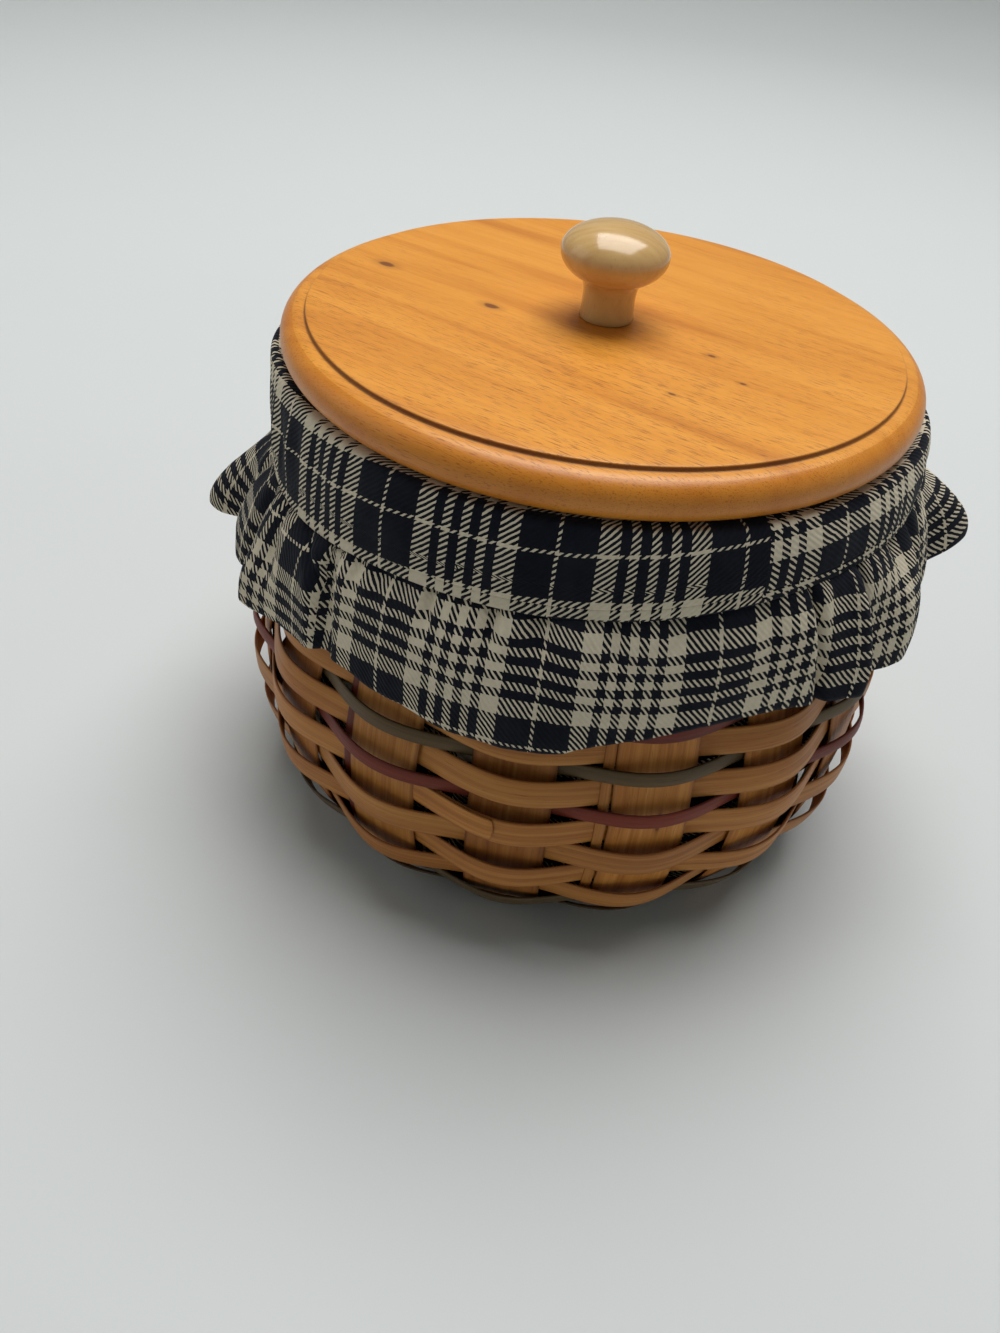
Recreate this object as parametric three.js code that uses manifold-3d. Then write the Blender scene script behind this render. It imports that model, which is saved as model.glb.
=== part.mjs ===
// A round splint basket with a gathered cloth liner and a turned, lift-off lid.
// Millimetres, +Z up, the origin on the floor under the middle, the front towards -Y.
import * as THREE from 'three';
import { mergeVertices } from 'three/addons/utils/BufferGeometryUtils.js';
import Module from 'manifold-3d';

const manifold = await Module();
manifold.setup();

// Splints and weavers
const STAKES = 16; // uprights, which are the ends of half as many long splints
const STAKE_WIDTH = 25.4;
const STAKE_THICKNESS = 1.0;
const STAKE_TURN = -4; // degrees from the front to the nearest upright
const WAIST_WIDTH = 8; // width of a long splint where all of them cross
const WAIST_RADIUS = 20; // the splints widen outside this radius
const STACK_SPREAD = 1.5; // how far past it a long splint stays level in the stack
const DOME_STOPS = [0.23, 0.7]; // shares of the way from the waist to the foot where a splint bends
const TAPER_END_RADIUS = 100; // and have their full width from here on
const WEAVER_THICKNESS = 1.0;
const WEAVE_GAP = 0.3; // between a weaver and the splint or row beside it
const CROSSING_MARGIN = 0.6; // how far a base row runs on flat past a splint's edge

// Rows, each a strip laid round the basket
const BASE_ROW_WIDTH = 6.2;
const FOOT_ROW_WIDTH = 9.6;
const TOP_ROW_WIDTH = 11.4; // the rows behind the ruffle
const MEDIUM_ROW_WIDTH = 9.6;
const NARROW_ROW_WIDTH = 4.8;
const LOW_ROW_WIDTH = 10.2; // where the belly turns under
const FOOT_GREEN_WIDTH = 8.8; // and the green rows below them
const BASE_ROWS_INSIDE_FOOT = 3;
const BASE_ROWS_OUTSIDE_FOOT = 2; // these share what is left below the wall
const FRONT_BULGE = 4.4; // a wall row's middle, out from an upright that it passes in front of
const LOWEST_BULGE = 2.2; // the lowest wall row has the floor close below it
const FRONT_EDGE = 1.6; // and beside that upright's edges
const BACK_EDGE = 1.8; // in from the edges of an upright that it passes behind
const BACK_BULGE = 2.2; // and in from its middle
const BASE_ROW_SLACK = 0.25;
const FOOT_ROW_DROP = 0.4; // the foot row bears on the floor, lower than the rows beside it

// The basket's shape, measured on the middle of the uprights' thickness
const DOME_RISE = 2; // the base is pushed up this far in the middle
const FOOT_INNER_RADIUS = 62;
const FOOT_OUTER_RADIUS = 74;
const BELLY_RADIUS = 110.4;
const BELLY_HEIGHT = 60;
const NECK_RADIUS = 96.5;
const NECK_HEIGHT = 159;
const FOOT_ROUNDING = 16; // how far the curve runs on level beyond the foot
const BELLY_ROUNDING_BELOW = 54; // and upright below and above the belly
const BELLY_ROUNDING_ABOVE = 16;
const NECK_ROUNDING = 45;
const NECK_FLARE = 1;

// Rim hoops
const RIM_WIDTH = 14;
const RIM_THICKNESS = 2.4;
const RIM_GAP = 0.5; // between a hoop and the uprights
const RIM_EDGE_ROUNDING = 1.2;

// Cloth
const LINER_THICKNESS = 1.0;
const LINER_CORNER = 3; // how far the liner's wall turns under before its flat bottom
const CUFF_THICKNESS = 0.8;
const CUFF_DEPTH = 25.5; // from the top of the fold down to the seam
const RUFFLE_THICKNESS = 0.8;
const RUFFLE_DROP = 39; // seam to hem along the cloth
const RUFFLE_FOLDS = 20;
const RUFFLE_NEAR = 9.5; // how far the hem stands out from the seam between folds
const RUFFLE_FAR_FRONT = 15; // at a fold at the front or back
const RUFFLE_FAR_SIDE = 23; // at a fold at either side
const CLOTH_GAP = 0.3;
const HOOP_CLEARANCE = 0.6; // between the liner and the innermost wood
const SEAM_CLEARANCE = 1.2; // between the cuff's seam and the outermost weaver

// Lid
const LID_RADIUS = 100;
const LID_EDGE_THICKNESS = 11.4;
const PANEL_RADIUS = 92.8;
const PANEL_STEP = 2.7;
const PANEL_EDGE_ROUNDING = 0.6;
const PLUG_DEPTH = 4.2;
const PLUG_CLEARANCE = 1.0;
const PLUG_CHAMFER = 0.6;

// Knob and its screw
const KNOB_HEAD_RADIUS = 16.7;
const KNOB_HEAD_CENTRE = 20.2; // its widest level above the lid
const KNOB_HEAD_RISE = 8.7; // from there up to the top
const KNOB_HEAD_FALL = 9.8; // and down to where the head would close
const KNOB_HEAD_START = -0.88; // radians below the widest level where the head leaves the neck
const KNOB_NECK_RADIUS = 8.2;
const KNOB_NECK_LOW = 3.8; // the neck is straight from this height
const KNOB_NECK_HIGH = 9;
const KNOB_NECK_FLARE = 0.9; // how far the neck spreads where it meets the head
const KNOB_FOOT_RADIUS = 8.6;
const KNOB_BORE_SPARE = 1.5; // depth left beyond the screw's tip
const SCREW_RADIUS = 2;
const SCREW_HEAD_RADIUS = 4.2;
const SCREW_HEAD_DEPTH = 2.4;
const SCREW_LENGTH = 30;
const SCREW_CLEARANCE = 0.3;
const SCREW_SLOT_WIDTH = 1.0;
const SCREW_SLOT_DEPTH = 1.1;
const SEAT_GAP = 0.3; // between two pieces that rest on each other

// Steps
const LOWER_SPLINT_STEPS = 12; // foot to belly
const UPPER_SPLINT_STEPS = 6; // belly to rim hoops
const ROUND_STEPS = 48;
const LID_STEPS = 52;
const LINER_STEPS = 36;
const LINER_WALL_STEPS = 6;
const RUFFLE_STEPS = RUFFLE_FOLDS * 5;
const RUFFLE_ROWS = 3;
const EDGE_ARC_STEPS = 7;
const KNOB_STEPS = 28;
const KNOB_HEAD_STEPS = 10;
const SCREW_STEPS = 16;
const HEIGHT_SEARCH_STEPS = 40;
const MERGE_TOLERANCE = 1e-4;

const TURN = Math.PI * 2;
const STAKE_PITCH = TURN / STAKES;
const rowOffset = STAKE_THICKNESS / 2 + WEAVE_GAP + WEAVER_THICKNESS / 2;
const footHeight = rowOffset + FOOT_ROW_DROP + WEAVER_THICKNESS / 2;
const wallReach = FRONT_BULGE + WEAVER_THICKNESS / 2;
const wallDepth = BACK_BULGE + WEAVER_THICKNESS / 2;
const firstStake = (STAKE_TURN - 90) * Math.PI / 180;

const woodColours = {
  natural: 0xc99a63,
  green: 0x6b6a4a,
  burgundy: 0x8a4a45,
  lid: 0xd99a4e,
  knob: 0xcdb487,
};

function material(colour, roughness, metalness = 0) {
  return new THREE.MeshStandardMaterial({ color: colour, roughness, metalness });
}

const basket = new THREE.Group();
basket.name = 'lidded_basket';

function addMesh(name, geometry, surface) {
  const mesh = new THREE.Mesh(geometry, surface);
  mesh.name = name;
  basket.add(mesh);
}

// A closed solid from rows of points that each hold one section of the solid.
// The sections join end to end when looped, and are capped when not. Each four-sided face is split
// along its shorter diagonal, so that the two sides of a thin twisted strip or sheet bend alike.
function solidFromSections(sections, looped) {
  const around = sections[0].length;
  const points = sections.flat();
  const positions = points.flatMap((p) => [p.x, p.y, p.z]);
  const triangles = [];
  const last = looped ? sections.length : sections.length - 1;
  for (let i = 0; i < last; i++) {
    const here = i * around;
    const next = ((i + 1) % sections.length) * around;
    for (let j = 0; j < around; j++) {
      const k = (j + 1) % around;
      const [a, b, c, d] = [here + j, here + k, next + k, next + j];
      const straight = points[a].distanceTo(points[c]) <= points[b].distanceTo(points[d]);
      if (straight) triangles.push(a, b, c, a, c, d);
      else triangles.push(a, b, d, b, c, d);
    }
  }
  if (!looped) {
    const end = (sections.length - 1) * around;
    for (let j = 1; j < around - 1; j++) {
      triangles.push(0, j + 1, j);
      triangles.push(end, end + j, end + j + 1);
    }
  }
  const geometry = new THREE.BufferGeometry();
  geometry.setAttribute('position', new THREE.Float32BufferAttribute(positions, 3));
  geometry.setIndex(triangles);
  geometry.computeVertexNormals();
  return geometry;
}

// The meridian of the basket: x is the radius and y the height of the uprights' middle
const meridian = new THREE.CurvePath();
const domeHeight = footHeight + DOME_RISE;
meridian.add(new THREE.CubicBezierCurve(
  new THREE.Vector2(WAIST_RADIUS, domeHeight),
  new THREE.Vector2((WAIST_RADIUS + FOOT_INNER_RADIUS) / 2, domeHeight),
  new THREE.Vector2((WAIST_RADIUS + FOOT_INNER_RADIUS) / 2, footHeight),
  new THREE.Vector2(FOOT_INNER_RADIUS, footHeight),
));
meridian.add(new THREE.LineCurve(
  new THREE.Vector2(FOOT_INNER_RADIUS, footHeight),
  new THREE.Vector2(FOOT_OUTER_RADIUS, footHeight),
));
meridian.add(new THREE.CubicBezierCurve(
  new THREE.Vector2(FOOT_OUTER_RADIUS, footHeight),
  new THREE.Vector2(FOOT_OUTER_RADIUS + FOOT_ROUNDING, footHeight),
  new THREE.Vector2(BELLY_RADIUS, BELLY_HEIGHT - BELLY_ROUNDING_BELOW),
  new THREE.Vector2(BELLY_RADIUS, BELLY_HEIGHT),
));
meridian.add(new THREE.CubicBezierCurve(
  new THREE.Vector2(BELLY_RADIUS, BELLY_HEIGHT),
  new THREE.Vector2(BELLY_RADIUS, BELLY_HEIGHT + BELLY_ROUNDING_ABOVE),
  new THREE.Vector2(NECK_RADIUS + NECK_FLARE, NECK_HEIGHT - NECK_ROUNDING),
  new THREE.Vector2(NECK_RADIUS, NECK_HEIGHT),
));
const meridianLengths = meridian.getCurveLengths();
const meridianLength = meridianLengths.at(-1);
const rimLowerLength = meridianLength - RIM_WIDTH;

// The point, the direction along the meridian and the outward direction at a length from the waist
function meridianAt(length) {
  const share = THREE.MathUtils.clamp(length / meridianLength, 0, 1);
  const point = meridian.getPoint(share);
  const along = meridian.getTangent(share).normalize();
  return { point, along, out: new THREE.Vector2(along.y, -along.x) };
}

// The length along the meridian at which a height is reached on the wall
function lengthAtHeight(height) {
  let low = meridianLengths[1];
  let high = meridianLength;
  for (let i = 0; i < HEIGHT_SEARCH_STEPS; i++) {
    const middle = (low + high) / 2;
    if (meridianAt(middle).point.y < height) low = middle;
    else high = middle;
  }
  return (low + high) / 2;
}

function wallRadius(height) {
  return meridianAt(lengthAtHeight(height)).point.x;
}

function splintWidth(radius) {
  const share = (radius - WAIST_RADIUS) / (TAPER_END_RADIUS - WAIST_RADIUS);
  return THREE.MathUtils.lerp(WAIST_WIDTH, STAKE_WIDTH, THREE.MathUtils.clamp(share, 0, 1));
}

// Long splints: each rises as two opposite uprights, and they cross in a stack at the waist
function splintPath(level) {
  const stations = [];
  const stackHeight = domeHeight + level * (STAKE_THICKNESS + WEAVE_GAP);
  const waist = new THREE.Vector2(WAIST_RADIUS + STACK_SPREAD, stackHeight);
  stations.push({ point: waist, out: new THREE.Vector2(0, -1) });
  const lengths = DOME_STOPS.map((share) => share * meridianLengths[0]);
  lengths.push(meridianLengths[0], meridianLengths[1]);
  for (let i = 1; i <= LOWER_SPLINT_STEPS; i++) {
    lengths.push(THREE.MathUtils.lerp(meridianLengths[1], meridianLengths[2], i / LOWER_SPLINT_STEPS));
  }
  for (let i = 1; i <= UPPER_SPLINT_STEPS; i++) {
    lengths.push(THREE.MathUtils.lerp(meridianLengths[2], rimLowerLength, i / UPPER_SPLINT_STEPS));
  }
  lengths.push(meridianLength);
  for (const length of lengths) stations.push(meridianAt(length));
  const mirrored = stations.map(({ point, out }) => ({
    point: new THREE.Vector2(-point.x, point.y),
    out: new THREE.Vector2(-out.x, out.y),
  }));
  return [...mirrored.reverse(), ...stations];
}

function longSplint(level) {
  const middle = firstStake + level * STAKE_PITCH;
  const corners = [[-1, 1], [0, 1], [1, 1], [1, -1], [0, -1], [-1, -1]];
  const sections = splintPath(level).map(({ point, out }) => corners.map(([side, face]) => {
    const angle = middle + side * splintWidth(Math.abs(point.x)) / 2 / point.x;
    const radius = point.x + out.x * face * STAKE_THICKNESS / 2;
    const height = point.y + out.y * face * STAKE_THICKNESS / 2;
    return new THREE.Vector3(radius * Math.cos(angle), radius * Math.sin(angle), height);
  }));
  return solidFromSections(sections, false);
}

const naturalSplint = material(woodColours.natural, 0.62);
for (let level = 0; level < STAKES / 2; level++) {
  addMesh(`long_splint_${level + 1}`, longSplint(level), naturalSplint);
}

// Weavers: each row is a closed strip that passes outside one upright and inside the next
function weaverRing(length, width, stops) {
  const { point, along, out } = meridianAt(length);
  const sections = stops.map(({ angle, offset }) => {
    const outwards = new THREE.Vector3(Math.cos(angle), Math.sin(angle), 0);
    return [[-1, -1], [1, -1], [1, 1], [-1, 1]].map(([side, face]) => {
      const depth = offset + face * WEAVER_THICKNESS / 2;
      const corner = outwards.clone();
      corner.multiplyScalar(point.x + out.x * depth + along.x * side * width / 2);
      corner.z = point.y + out.y * depth + along.y * side * width / 2;
      return corner;
    });
  });
  return solidFromSections(sections, true);
}

// A base row lies flat over and under the splints and changes side between them
function flatStops(length, width, row, drop) {
  const innerRadius = meridianAt(length).point.x - width / 2;
  const halfFlat = (splintWidth(innerRadius) / 2 + CROSSING_MARGIN) / innerRadius;
  const stops = [];
  for (let stake = 0; stake < STAKES; stake++) {
    const middle = firstStake + stake * STAKE_PITCH;
    const offset = (stake + row) % 2 === 0 ? rowOffset + drop : -rowOffset - drop;
    stops.push({ angle: middle - halfFlat, offset }, { angle: middle + halfFlat, offset });
  }
  return stops;
}

// A wall row swings out in front of every other upright and lies close behind the rest
function bulgedStops(row) {
  const front = row === 0 ? LOWEST_BULGE : FRONT_BULGE;
  const wave = [front, FRONT_EDGE, -BACK_EDGE, -BACK_BULGE, -BACK_EDGE, FRONT_EDGE];
  const stops = [];
  for (let i = 0; i < STAKES / 2 * wave.length; i++) {
    const angle = firstStake + (row % 2 + i * 2 / wave.length) * STAKE_PITCH;
    stops.push({ angle, offset: wave[i % wave.length] });
  }
  return stops;
}

const surfaces = {
  natural: naturalSplint,
  green: material(woodColours.green, 0.6),
  burgundy: material(woodColours.burgundy, 0.58),
};

const wallRows = [
  ...Array(3).fill({ width: FOOT_GREEN_WIDTH, surface: 'green' }),
  ...Array(4).fill({ width: LOW_ROW_WIDTH, surface: 'natural' }),
  { width: NARROW_ROW_WIDTH, surface: 'burgundy' },
  { width: MEDIUM_ROW_WIDTH, surface: 'natural' },
  { width: NARROW_ROW_WIDTH, surface: 'green' },
  { width: MEDIUM_ROW_WIDTH, surface: 'natural' },
  { width: NARROW_ROW_WIDTH, surface: 'burgundy' },
  ...Array(4).fill({ width: TOP_ROW_WIDTH, surface: 'natural' }),
];

// The wall rows are beaten down from the rim hoops, one against the next
let edge = rimLowerLength;
for (let i = wallRows.length - 1; i >= 0; i--) {
  const { width, surface } = wallRows[i];
  const middle = edge - WEAVE_GAP - width / 2;
  const name = `wall_weaver_${String(i + 1).padStart(2, '0')}`;
  addMesh(name, weaverRing(middle, width, bulgedStops(i)), surfaces[surface]);
  edge = middle - width / 2;
}

// The base rows go on inwards, with one wide row under the flat foot
const footMiddle = (meridianLengths[0] + meridianLengths[1]) / 2;
const outerRoom = edge - (footMiddle + FOOT_ROW_WIDTH / 2) - WEAVE_GAP;
const outerRowWidth = outerRoom / BASE_ROWS_OUTSIDE_FOOT - WEAVE_GAP;
const baseRows = [
  ...Array(BASE_ROWS_OUTSIDE_FOOT).fill(outerRowWidth),
  FOOT_ROW_WIDTH,
  ...Array(BASE_ROWS_INSIDE_FOOT).fill(BASE_ROW_WIDTH),
];
baseRows.forEach((width, i) => {
  const middle = edge - WEAVE_GAP - width / 2;
  const drop = width === FOOT_ROW_WIDTH ? FOOT_ROW_DROP : BASE_ROW_SLACK;
  const stops = flatStops(middle, width, i + 1, drop);
  addMesh(`base_weaver_${i + 1}`, weaverRing(middle, width, stops), naturalSplint);
  edge = middle - width / 2;
});

// A revolved solid from a closed outline of radius and height, run round upwards on the outside
function revolved(outline, steps) {
  const points = outline.map(([radius, height]) => new THREE.Vector2(Math.max(radius, 0), height));
  if (points[0].x > 0) points.push(points[0].clone());
  const geometry = new THREE.LatheGeometry(points, steps);
  geometry.rotateX(Math.PI / 2);
  geometry.deleteAttribute('normal');
  geometry.deleteAttribute('uv');
  const merged = mergeVertices(geometry, MERGE_TOLERANCE);
  const index = merged.index.array;
  const kept = [];
  for (let i = 0; i < index.length; i += 3) {
    const [a, b, c] = index.slice(i, i + 3);
    if (a !== b && b !== c && c !== a) kept.push(a, b, c);
  }
  merged.setIndex(kept);
  merged.computeVertexNormals();
  return merged;
}

// A point off the meridian: a positive depth lies outside the uprights
function besideMeridian(length, depth) {
  const { point, out } = meridianAt(length);
  return [point.x + out.x * depth, point.y + out.y * depth];
}

// Rim hoops: half-round strips that clamp the tops of the uprights from both sides
const rimNear = STAKE_THICKNESS / 2 + RIM_GAP;
const rimFar = rimNear + RIM_THICKNESS;
function rimOutline(side) {
  const low = rimLowerLength;
  const high = meridianLength;
  const outline = [
    besideMeridian(low, side * rimNear),
    besideMeridian(low, side * (rimFar - RIM_EDGE_ROUNDING)),
    besideMeridian(low + RIM_EDGE_ROUNDING, side * rimFar),
    besideMeridian(high - RIM_EDGE_ROUNDING, side * rimFar),
    besideMeridian(high, side * (rimFar - RIM_EDGE_ROUNDING)),
    besideMeridian(high, side * rimNear),
  ];
  return side > 0 ? outline : outline.reverse();
}
addMesh('outer_rim_hoop', revolved(rimOutline(1), ROUND_STEPS), naturalSplint);
addMesh('inner_rim_hoop', revolved(rimOutline(-1), ROUND_STEPS), naturalSplint);

// The liner stands inside the wall, on top of the stack where the long splints cross
const navyCloth = material(0x2b3142, 0.9);
const stackTop = domeHeight + (STAKES / 2 - 1) * (STAKE_THICKNESS + WEAVE_GAP) + STAKE_THICKNESS / 2;
const linerFloor = stackTop + CLOTH_GAP;
const linerDepth = Math.max(wallDepth, rimFar) + HOOP_CLEARANCE;
function linerWall(depth, lowest) {
  const bottom = lengthAtHeight(lowest);
  const points = [];
  for (let i = 0; i <= LINER_WALL_STEPS; i++) {
    const length = THREE.MathUtils.lerp(bottom, rimLowerLength, i / LINER_WALL_STEPS);
    points.push(besideMeridian(length, -depth));
  }
  points.push(besideMeridian(meridianLength, -depth));
  return points;
}
const linerOuter = linerWall(linerDepth, linerFloor);
const linerInner = linerWall(linerDepth + LINER_THICKNESS, linerFloor + LINER_THICKNESS);
const linerOutline = [
  [0, linerFloor],
  [linerOuter[0][0] - LINER_CORNER, linerFloor],
  ...linerOuter,
  ...linerInner.toReversed(),
  [linerInner[0][0] - LINER_CORNER, linerFloor + LINER_THICKNESS],
  [0, linerFloor + LINER_THICKNESS],
];
addMesh('liner', revolved(linerOutline, LINER_STEPS), navyCloth);
const mouthRadius = linerInner.at(-1)[0];

// The cuff lies over the rim and down the outside to the seam
const cuffUnderside = NECK_HEIGHT + CLOTH_GAP;
const cuffTop = cuffUnderside + CUFF_THICKNESS;
const seamHeight = cuffTop - CUFF_DEPTH;
const cuffTopRadius = NECK_RADIUS + rimFar + CLOTH_GAP;
const seamRadius = wallRadius(seamHeight) + wallReach + SEAM_CLEARANCE;
const cuffOutline = [
  [mouthRadius, cuffUnderside],
  [cuffTopRadius, cuffUnderside],
  [seamRadius, seamHeight],
  [seamRadius + CUFF_THICKNESS, seamHeight],
  [cuffTopRadius + CUFF_THICKNESS, cuffTop - CUFF_THICKNESS / 2],
  [cuffTopRadius + CUFF_THICKNESS / 2, cuffTop],
  [mouthRadius, cuffTop],
];
addMesh('liner_cuff', revolved(cuffOutline, ROUND_STEPS), navyCloth);

// The ruffle hangs from the seam: folds swing out between stretches that lie near the wall
function ruffleStand(azimuth) {
  const fold = (1 + Math.cos(RUFFLE_FOLDS * azimuth)) / 2;
  const sideways = Math.sin(azimuth) ** 4;
  const far = THREE.MathUtils.lerp(RUFFLE_FAR_FRONT, RUFFLE_FAR_SIDE, sideways);
  return THREE.MathUtils.lerp(RUFFLE_NEAR, far, fold);
}
function ruffleSection(azimuth) {
  const stand = ruffleStand(azimuth);
  const fall = Math.sqrt(RUFFLE_DROP ** 2 - stand ** 2);
  const inner = [];
  const outer = [];
  for (let row = 0; row <= RUFFLE_ROWS; row++) {
    const share = row / RUFFLE_ROWS;
    const radius = seamRadius + stand * share;
    const height = seamHeight - CLOTH_GAP - fall * share;
    inner.push([radius, height]);
    outer.push([radius + RUFFLE_THICKNESS, height]);
  }
  return [...outer, ...inner.reverse()].map(([radius, height]) => new THREE.Vector3(
    radius * Math.sin(azimuth),
    -radius * Math.cos(azimuth),
    height,
  ));
}
const ruffleSections = [];
for (let i = 0; i < RUFFLE_STEPS; i++) ruffleSections.push(ruffleSection(i / RUFFLE_STEPS * TURN));
addMesh('ruffle', solidFromSections(ruffleSections, true), navyCloth);

// Lid: a raised panel, a full round edge, and a plug that drops into the mouth
const lidSeat = cuffTop + SEAT_GAP;
const plugBottom = lidSeat - PLUG_DEPTH;
const plugRadius = mouthRadius - PLUG_CLEARANCE;
const edgeTop = lidSeat + LID_EDGE_THICKNESS;
const lidTop = edgeTop + PANEL_STEP;
const screwHole = SCREW_RADIUS + SCREW_CLEARANCE;
function lidOutline() {
  const edgeRound = LID_EDGE_THICKNESS / 2;
  const edge = [];
  for (let i = 0; i <= EDGE_ARC_STEPS; i++) {
    const angle = -Math.PI / 2 + i / EDGE_ARC_STEPS * Math.PI;
    const radius = LID_RADIUS - edgeRound + edgeRound * Math.cos(angle);
    edge.push([radius, lidSeat + edgeRound + edgeRound * Math.sin(angle)]);
  }
  return [
    [SCREW_HEAD_RADIUS + SCREW_CLEARANCE, plugBottom],
    [plugRadius - PLUG_CHAMFER, plugBottom],
    [plugRadius, plugBottom + PLUG_CHAMFER],
    [plugRadius, lidSeat],
    ...edge,
    [PANEL_RADIUS, edgeTop],
    [PANEL_RADIUS, lidTop - PANEL_EDGE_ROUNDING],
    [PANEL_RADIUS - PANEL_EDGE_ROUNDING, lidTop],
    [screwHole, lidTop],
    [screwHole, plugBottom + SCREW_HEAD_DEPTH],
  ];
}
addMesh('lid', revolved(lidOutline(), LID_STEPS), material(woodColours.lid, 0.35));

// Knob: a flattened ball on a short waisted neck, bored from below for its screw
const knobFoot = lidTop + SEAT_GAP;
const screwTip = plugBottom + SCREW_LENGTH;
function knobOutline() {
  const neck = [
    [KNOB_FOOT_RADIUS, 0],
    [KNOB_NECK_RADIUS, KNOB_NECK_LOW],
    [KNOB_NECK_RADIUS, KNOB_NECK_HIGH],
    [KNOB_NECK_RADIUS + KNOB_NECK_FLARE, KNOB_NECK_HIGH + KNOB_NECK_FLARE * 2],
  ];
  const head = [];
  for (let i = 0; i <= KNOB_HEAD_STEPS; i++) {
    const angle = THREE.MathUtils.lerp(KNOB_HEAD_START, Math.PI / 2, i / KNOB_HEAD_STEPS);
    const radius = i === KNOB_HEAD_STEPS ? 0 : KNOB_HEAD_RADIUS * Math.cos(angle);
    const reach = angle > 0 ? KNOB_HEAD_RISE : KNOB_HEAD_FALL;
    head.push([radius, KNOB_HEAD_CENTRE + reach * Math.sin(angle)]);
  }
  const bored = screwTip + KNOB_BORE_SPARE - knobFoot;
  const outline = [[0, bored], [screwHole, bored], [screwHole, 0], ...neck, ...head];
  return outline.map(([radius, height]) => [radius, knobFoot + height]);
}
addMesh('knob', revolved(knobOutline(), KNOB_STEPS), material(woodColours.knob, 0.25));

// Screw: a countersunk head with a slot, flush with the plug, and a shank up into the knob
function asManifold(geometry) {
  const bare = geometry.clone();
  bare.deleteAttribute('normal');
  bare.deleteAttribute('uv');
  const merged = mergeVertices(bare, MERGE_TOLERANCE);
  return new manifold.Manifold(new manifold.Mesh({
    numProp: 3,
    vertProperties: merged.attributes.position.array,
    triVerts: Uint32Array.from(merged.index.array),
  }));
}
function asGeometry(solid) {
  const mesh = solid.getMesh();
  const geometry = new THREE.BufferGeometry();
  geometry.setAttribute('position', new THREE.Float32BufferAttribute(mesh.vertProperties, 3));
  geometry.setIndex(Array.from(mesh.triVerts));
  geometry.computeVertexNormals();
  return geometry;
}
const screwOutline = [
  [0, plugBottom],
  [SCREW_HEAD_RADIUS, plugBottom],
  [SCREW_RADIUS, plugBottom + SCREW_HEAD_DEPTH],
  [SCREW_RADIUS, screwTip - SCREW_RADIUS * 2],
  [0, screwTip],
];
const slotLength = SCREW_HEAD_RADIUS * 3; // right across the head and beyond
const slot = new THREE.BoxGeometry(slotLength, SCREW_SLOT_WIDTH, SCREW_SLOT_DEPTH * 2);
slot.translate(0, 0, plugBottom);
const screw = asManifold(revolved(screwOutline, SCREW_STEPS)).subtract(asManifold(slot));
addMesh('knob_screw', asGeometry(screw), material(0xc2c4c8, 0.35, 0.9));

export default basket;
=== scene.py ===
import math
import random

import bmesh
import bpy
import numpy as np
from mathutils import Matrix, Vector, noise


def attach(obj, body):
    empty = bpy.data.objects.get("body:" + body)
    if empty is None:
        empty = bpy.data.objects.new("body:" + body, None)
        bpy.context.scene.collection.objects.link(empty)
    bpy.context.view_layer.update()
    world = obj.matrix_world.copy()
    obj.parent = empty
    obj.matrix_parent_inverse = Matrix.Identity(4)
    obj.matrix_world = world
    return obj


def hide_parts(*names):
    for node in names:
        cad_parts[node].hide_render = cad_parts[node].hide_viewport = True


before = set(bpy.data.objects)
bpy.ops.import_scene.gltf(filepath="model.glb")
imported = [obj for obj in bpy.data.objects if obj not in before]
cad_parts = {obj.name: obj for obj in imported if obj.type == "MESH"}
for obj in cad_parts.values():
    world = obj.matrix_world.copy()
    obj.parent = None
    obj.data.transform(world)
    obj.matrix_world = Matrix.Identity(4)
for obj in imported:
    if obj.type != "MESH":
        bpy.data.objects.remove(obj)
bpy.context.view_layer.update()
mm = 0.001
turn = 2 * math.pi
scene = bpy.context.scene
scene.view_settings.view_transform = "Standard"


# Short ways to wire nodes and make meshes

def plug(tree, node, inputs):
    # Links each input that is given a socket, and sets the others
    for key, value in inputs.items():
        if isinstance(value, bpy.types.NodeSocket):
            tree.links.new(value, node.inputs[key])
        else:
            node.inputs[key].default_value = value
    return node


def wire(tree, kind, inputs=None, **settings):
    node = tree.nodes.new(kind)
    for key, value in settings.items():
        setattr(node, key, value)
    return plug(tree, node, inputs or {})


def calc(tree, operation, *values, clamp=False):
    return wire(tree, "ShaderNodeMath", dict(enumerate(values)), operation=operation, use_clamp=clamp).outputs[0]


def vectorCalc(tree, operation, *values):
    node = wire(tree, "ShaderNodeVectorMath", dict(enumerate(values)), operation=operation)
    return node.outputs["Value" if operation in ("LENGTH", "DISTANCE") else "Vector"]


def scaled(tree, vector, factors):
    return vectorCalc(tree, "MULTIPLY", vector, factors)


def axis(tree, vector, number):
    return wire(tree, "ShaderNodeSeparateXYZ", {0: vector}).outputs[number]


def combine(tree, x=0.0, y=0.0, z=0.0):
    return wire(tree, "ShaderNodeCombineXYZ", {0: x, 1: y, 2: z}).outputs[0]


def objectPlace(tree):
    return wire(tree, "ShaderNodeTexCoord").outputs["Object"]


def colour(red, green, blue):
    # A colour as it is seen on screen, 0 to 255, turned into linear light
    shares = [part / 255 for part in (red, green, blue)]
    return tuple(((c + 0.055) / 1.055) ** 2.4 if c > 10 / 255 else c / 12.92 for c in shares) + (1,)


def newMaterial(name):
    material = bpy.data.materials.new(name)
    material.use_nodes = True
    return material, material.node_tree, material.node_tree.nodes["Principled BSDF"]


def attribute(tree, name, output="Fac"):
    return wire(tree, "ShaderNodeAttribute", attribute_name=name).outputs[output]


def mixColour(tree, share, first, second):
    return wire(tree, "ShaderNodeMix", {0: share, 6: first, 7: second}, data_type="RGBA").outputs[2]


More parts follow.
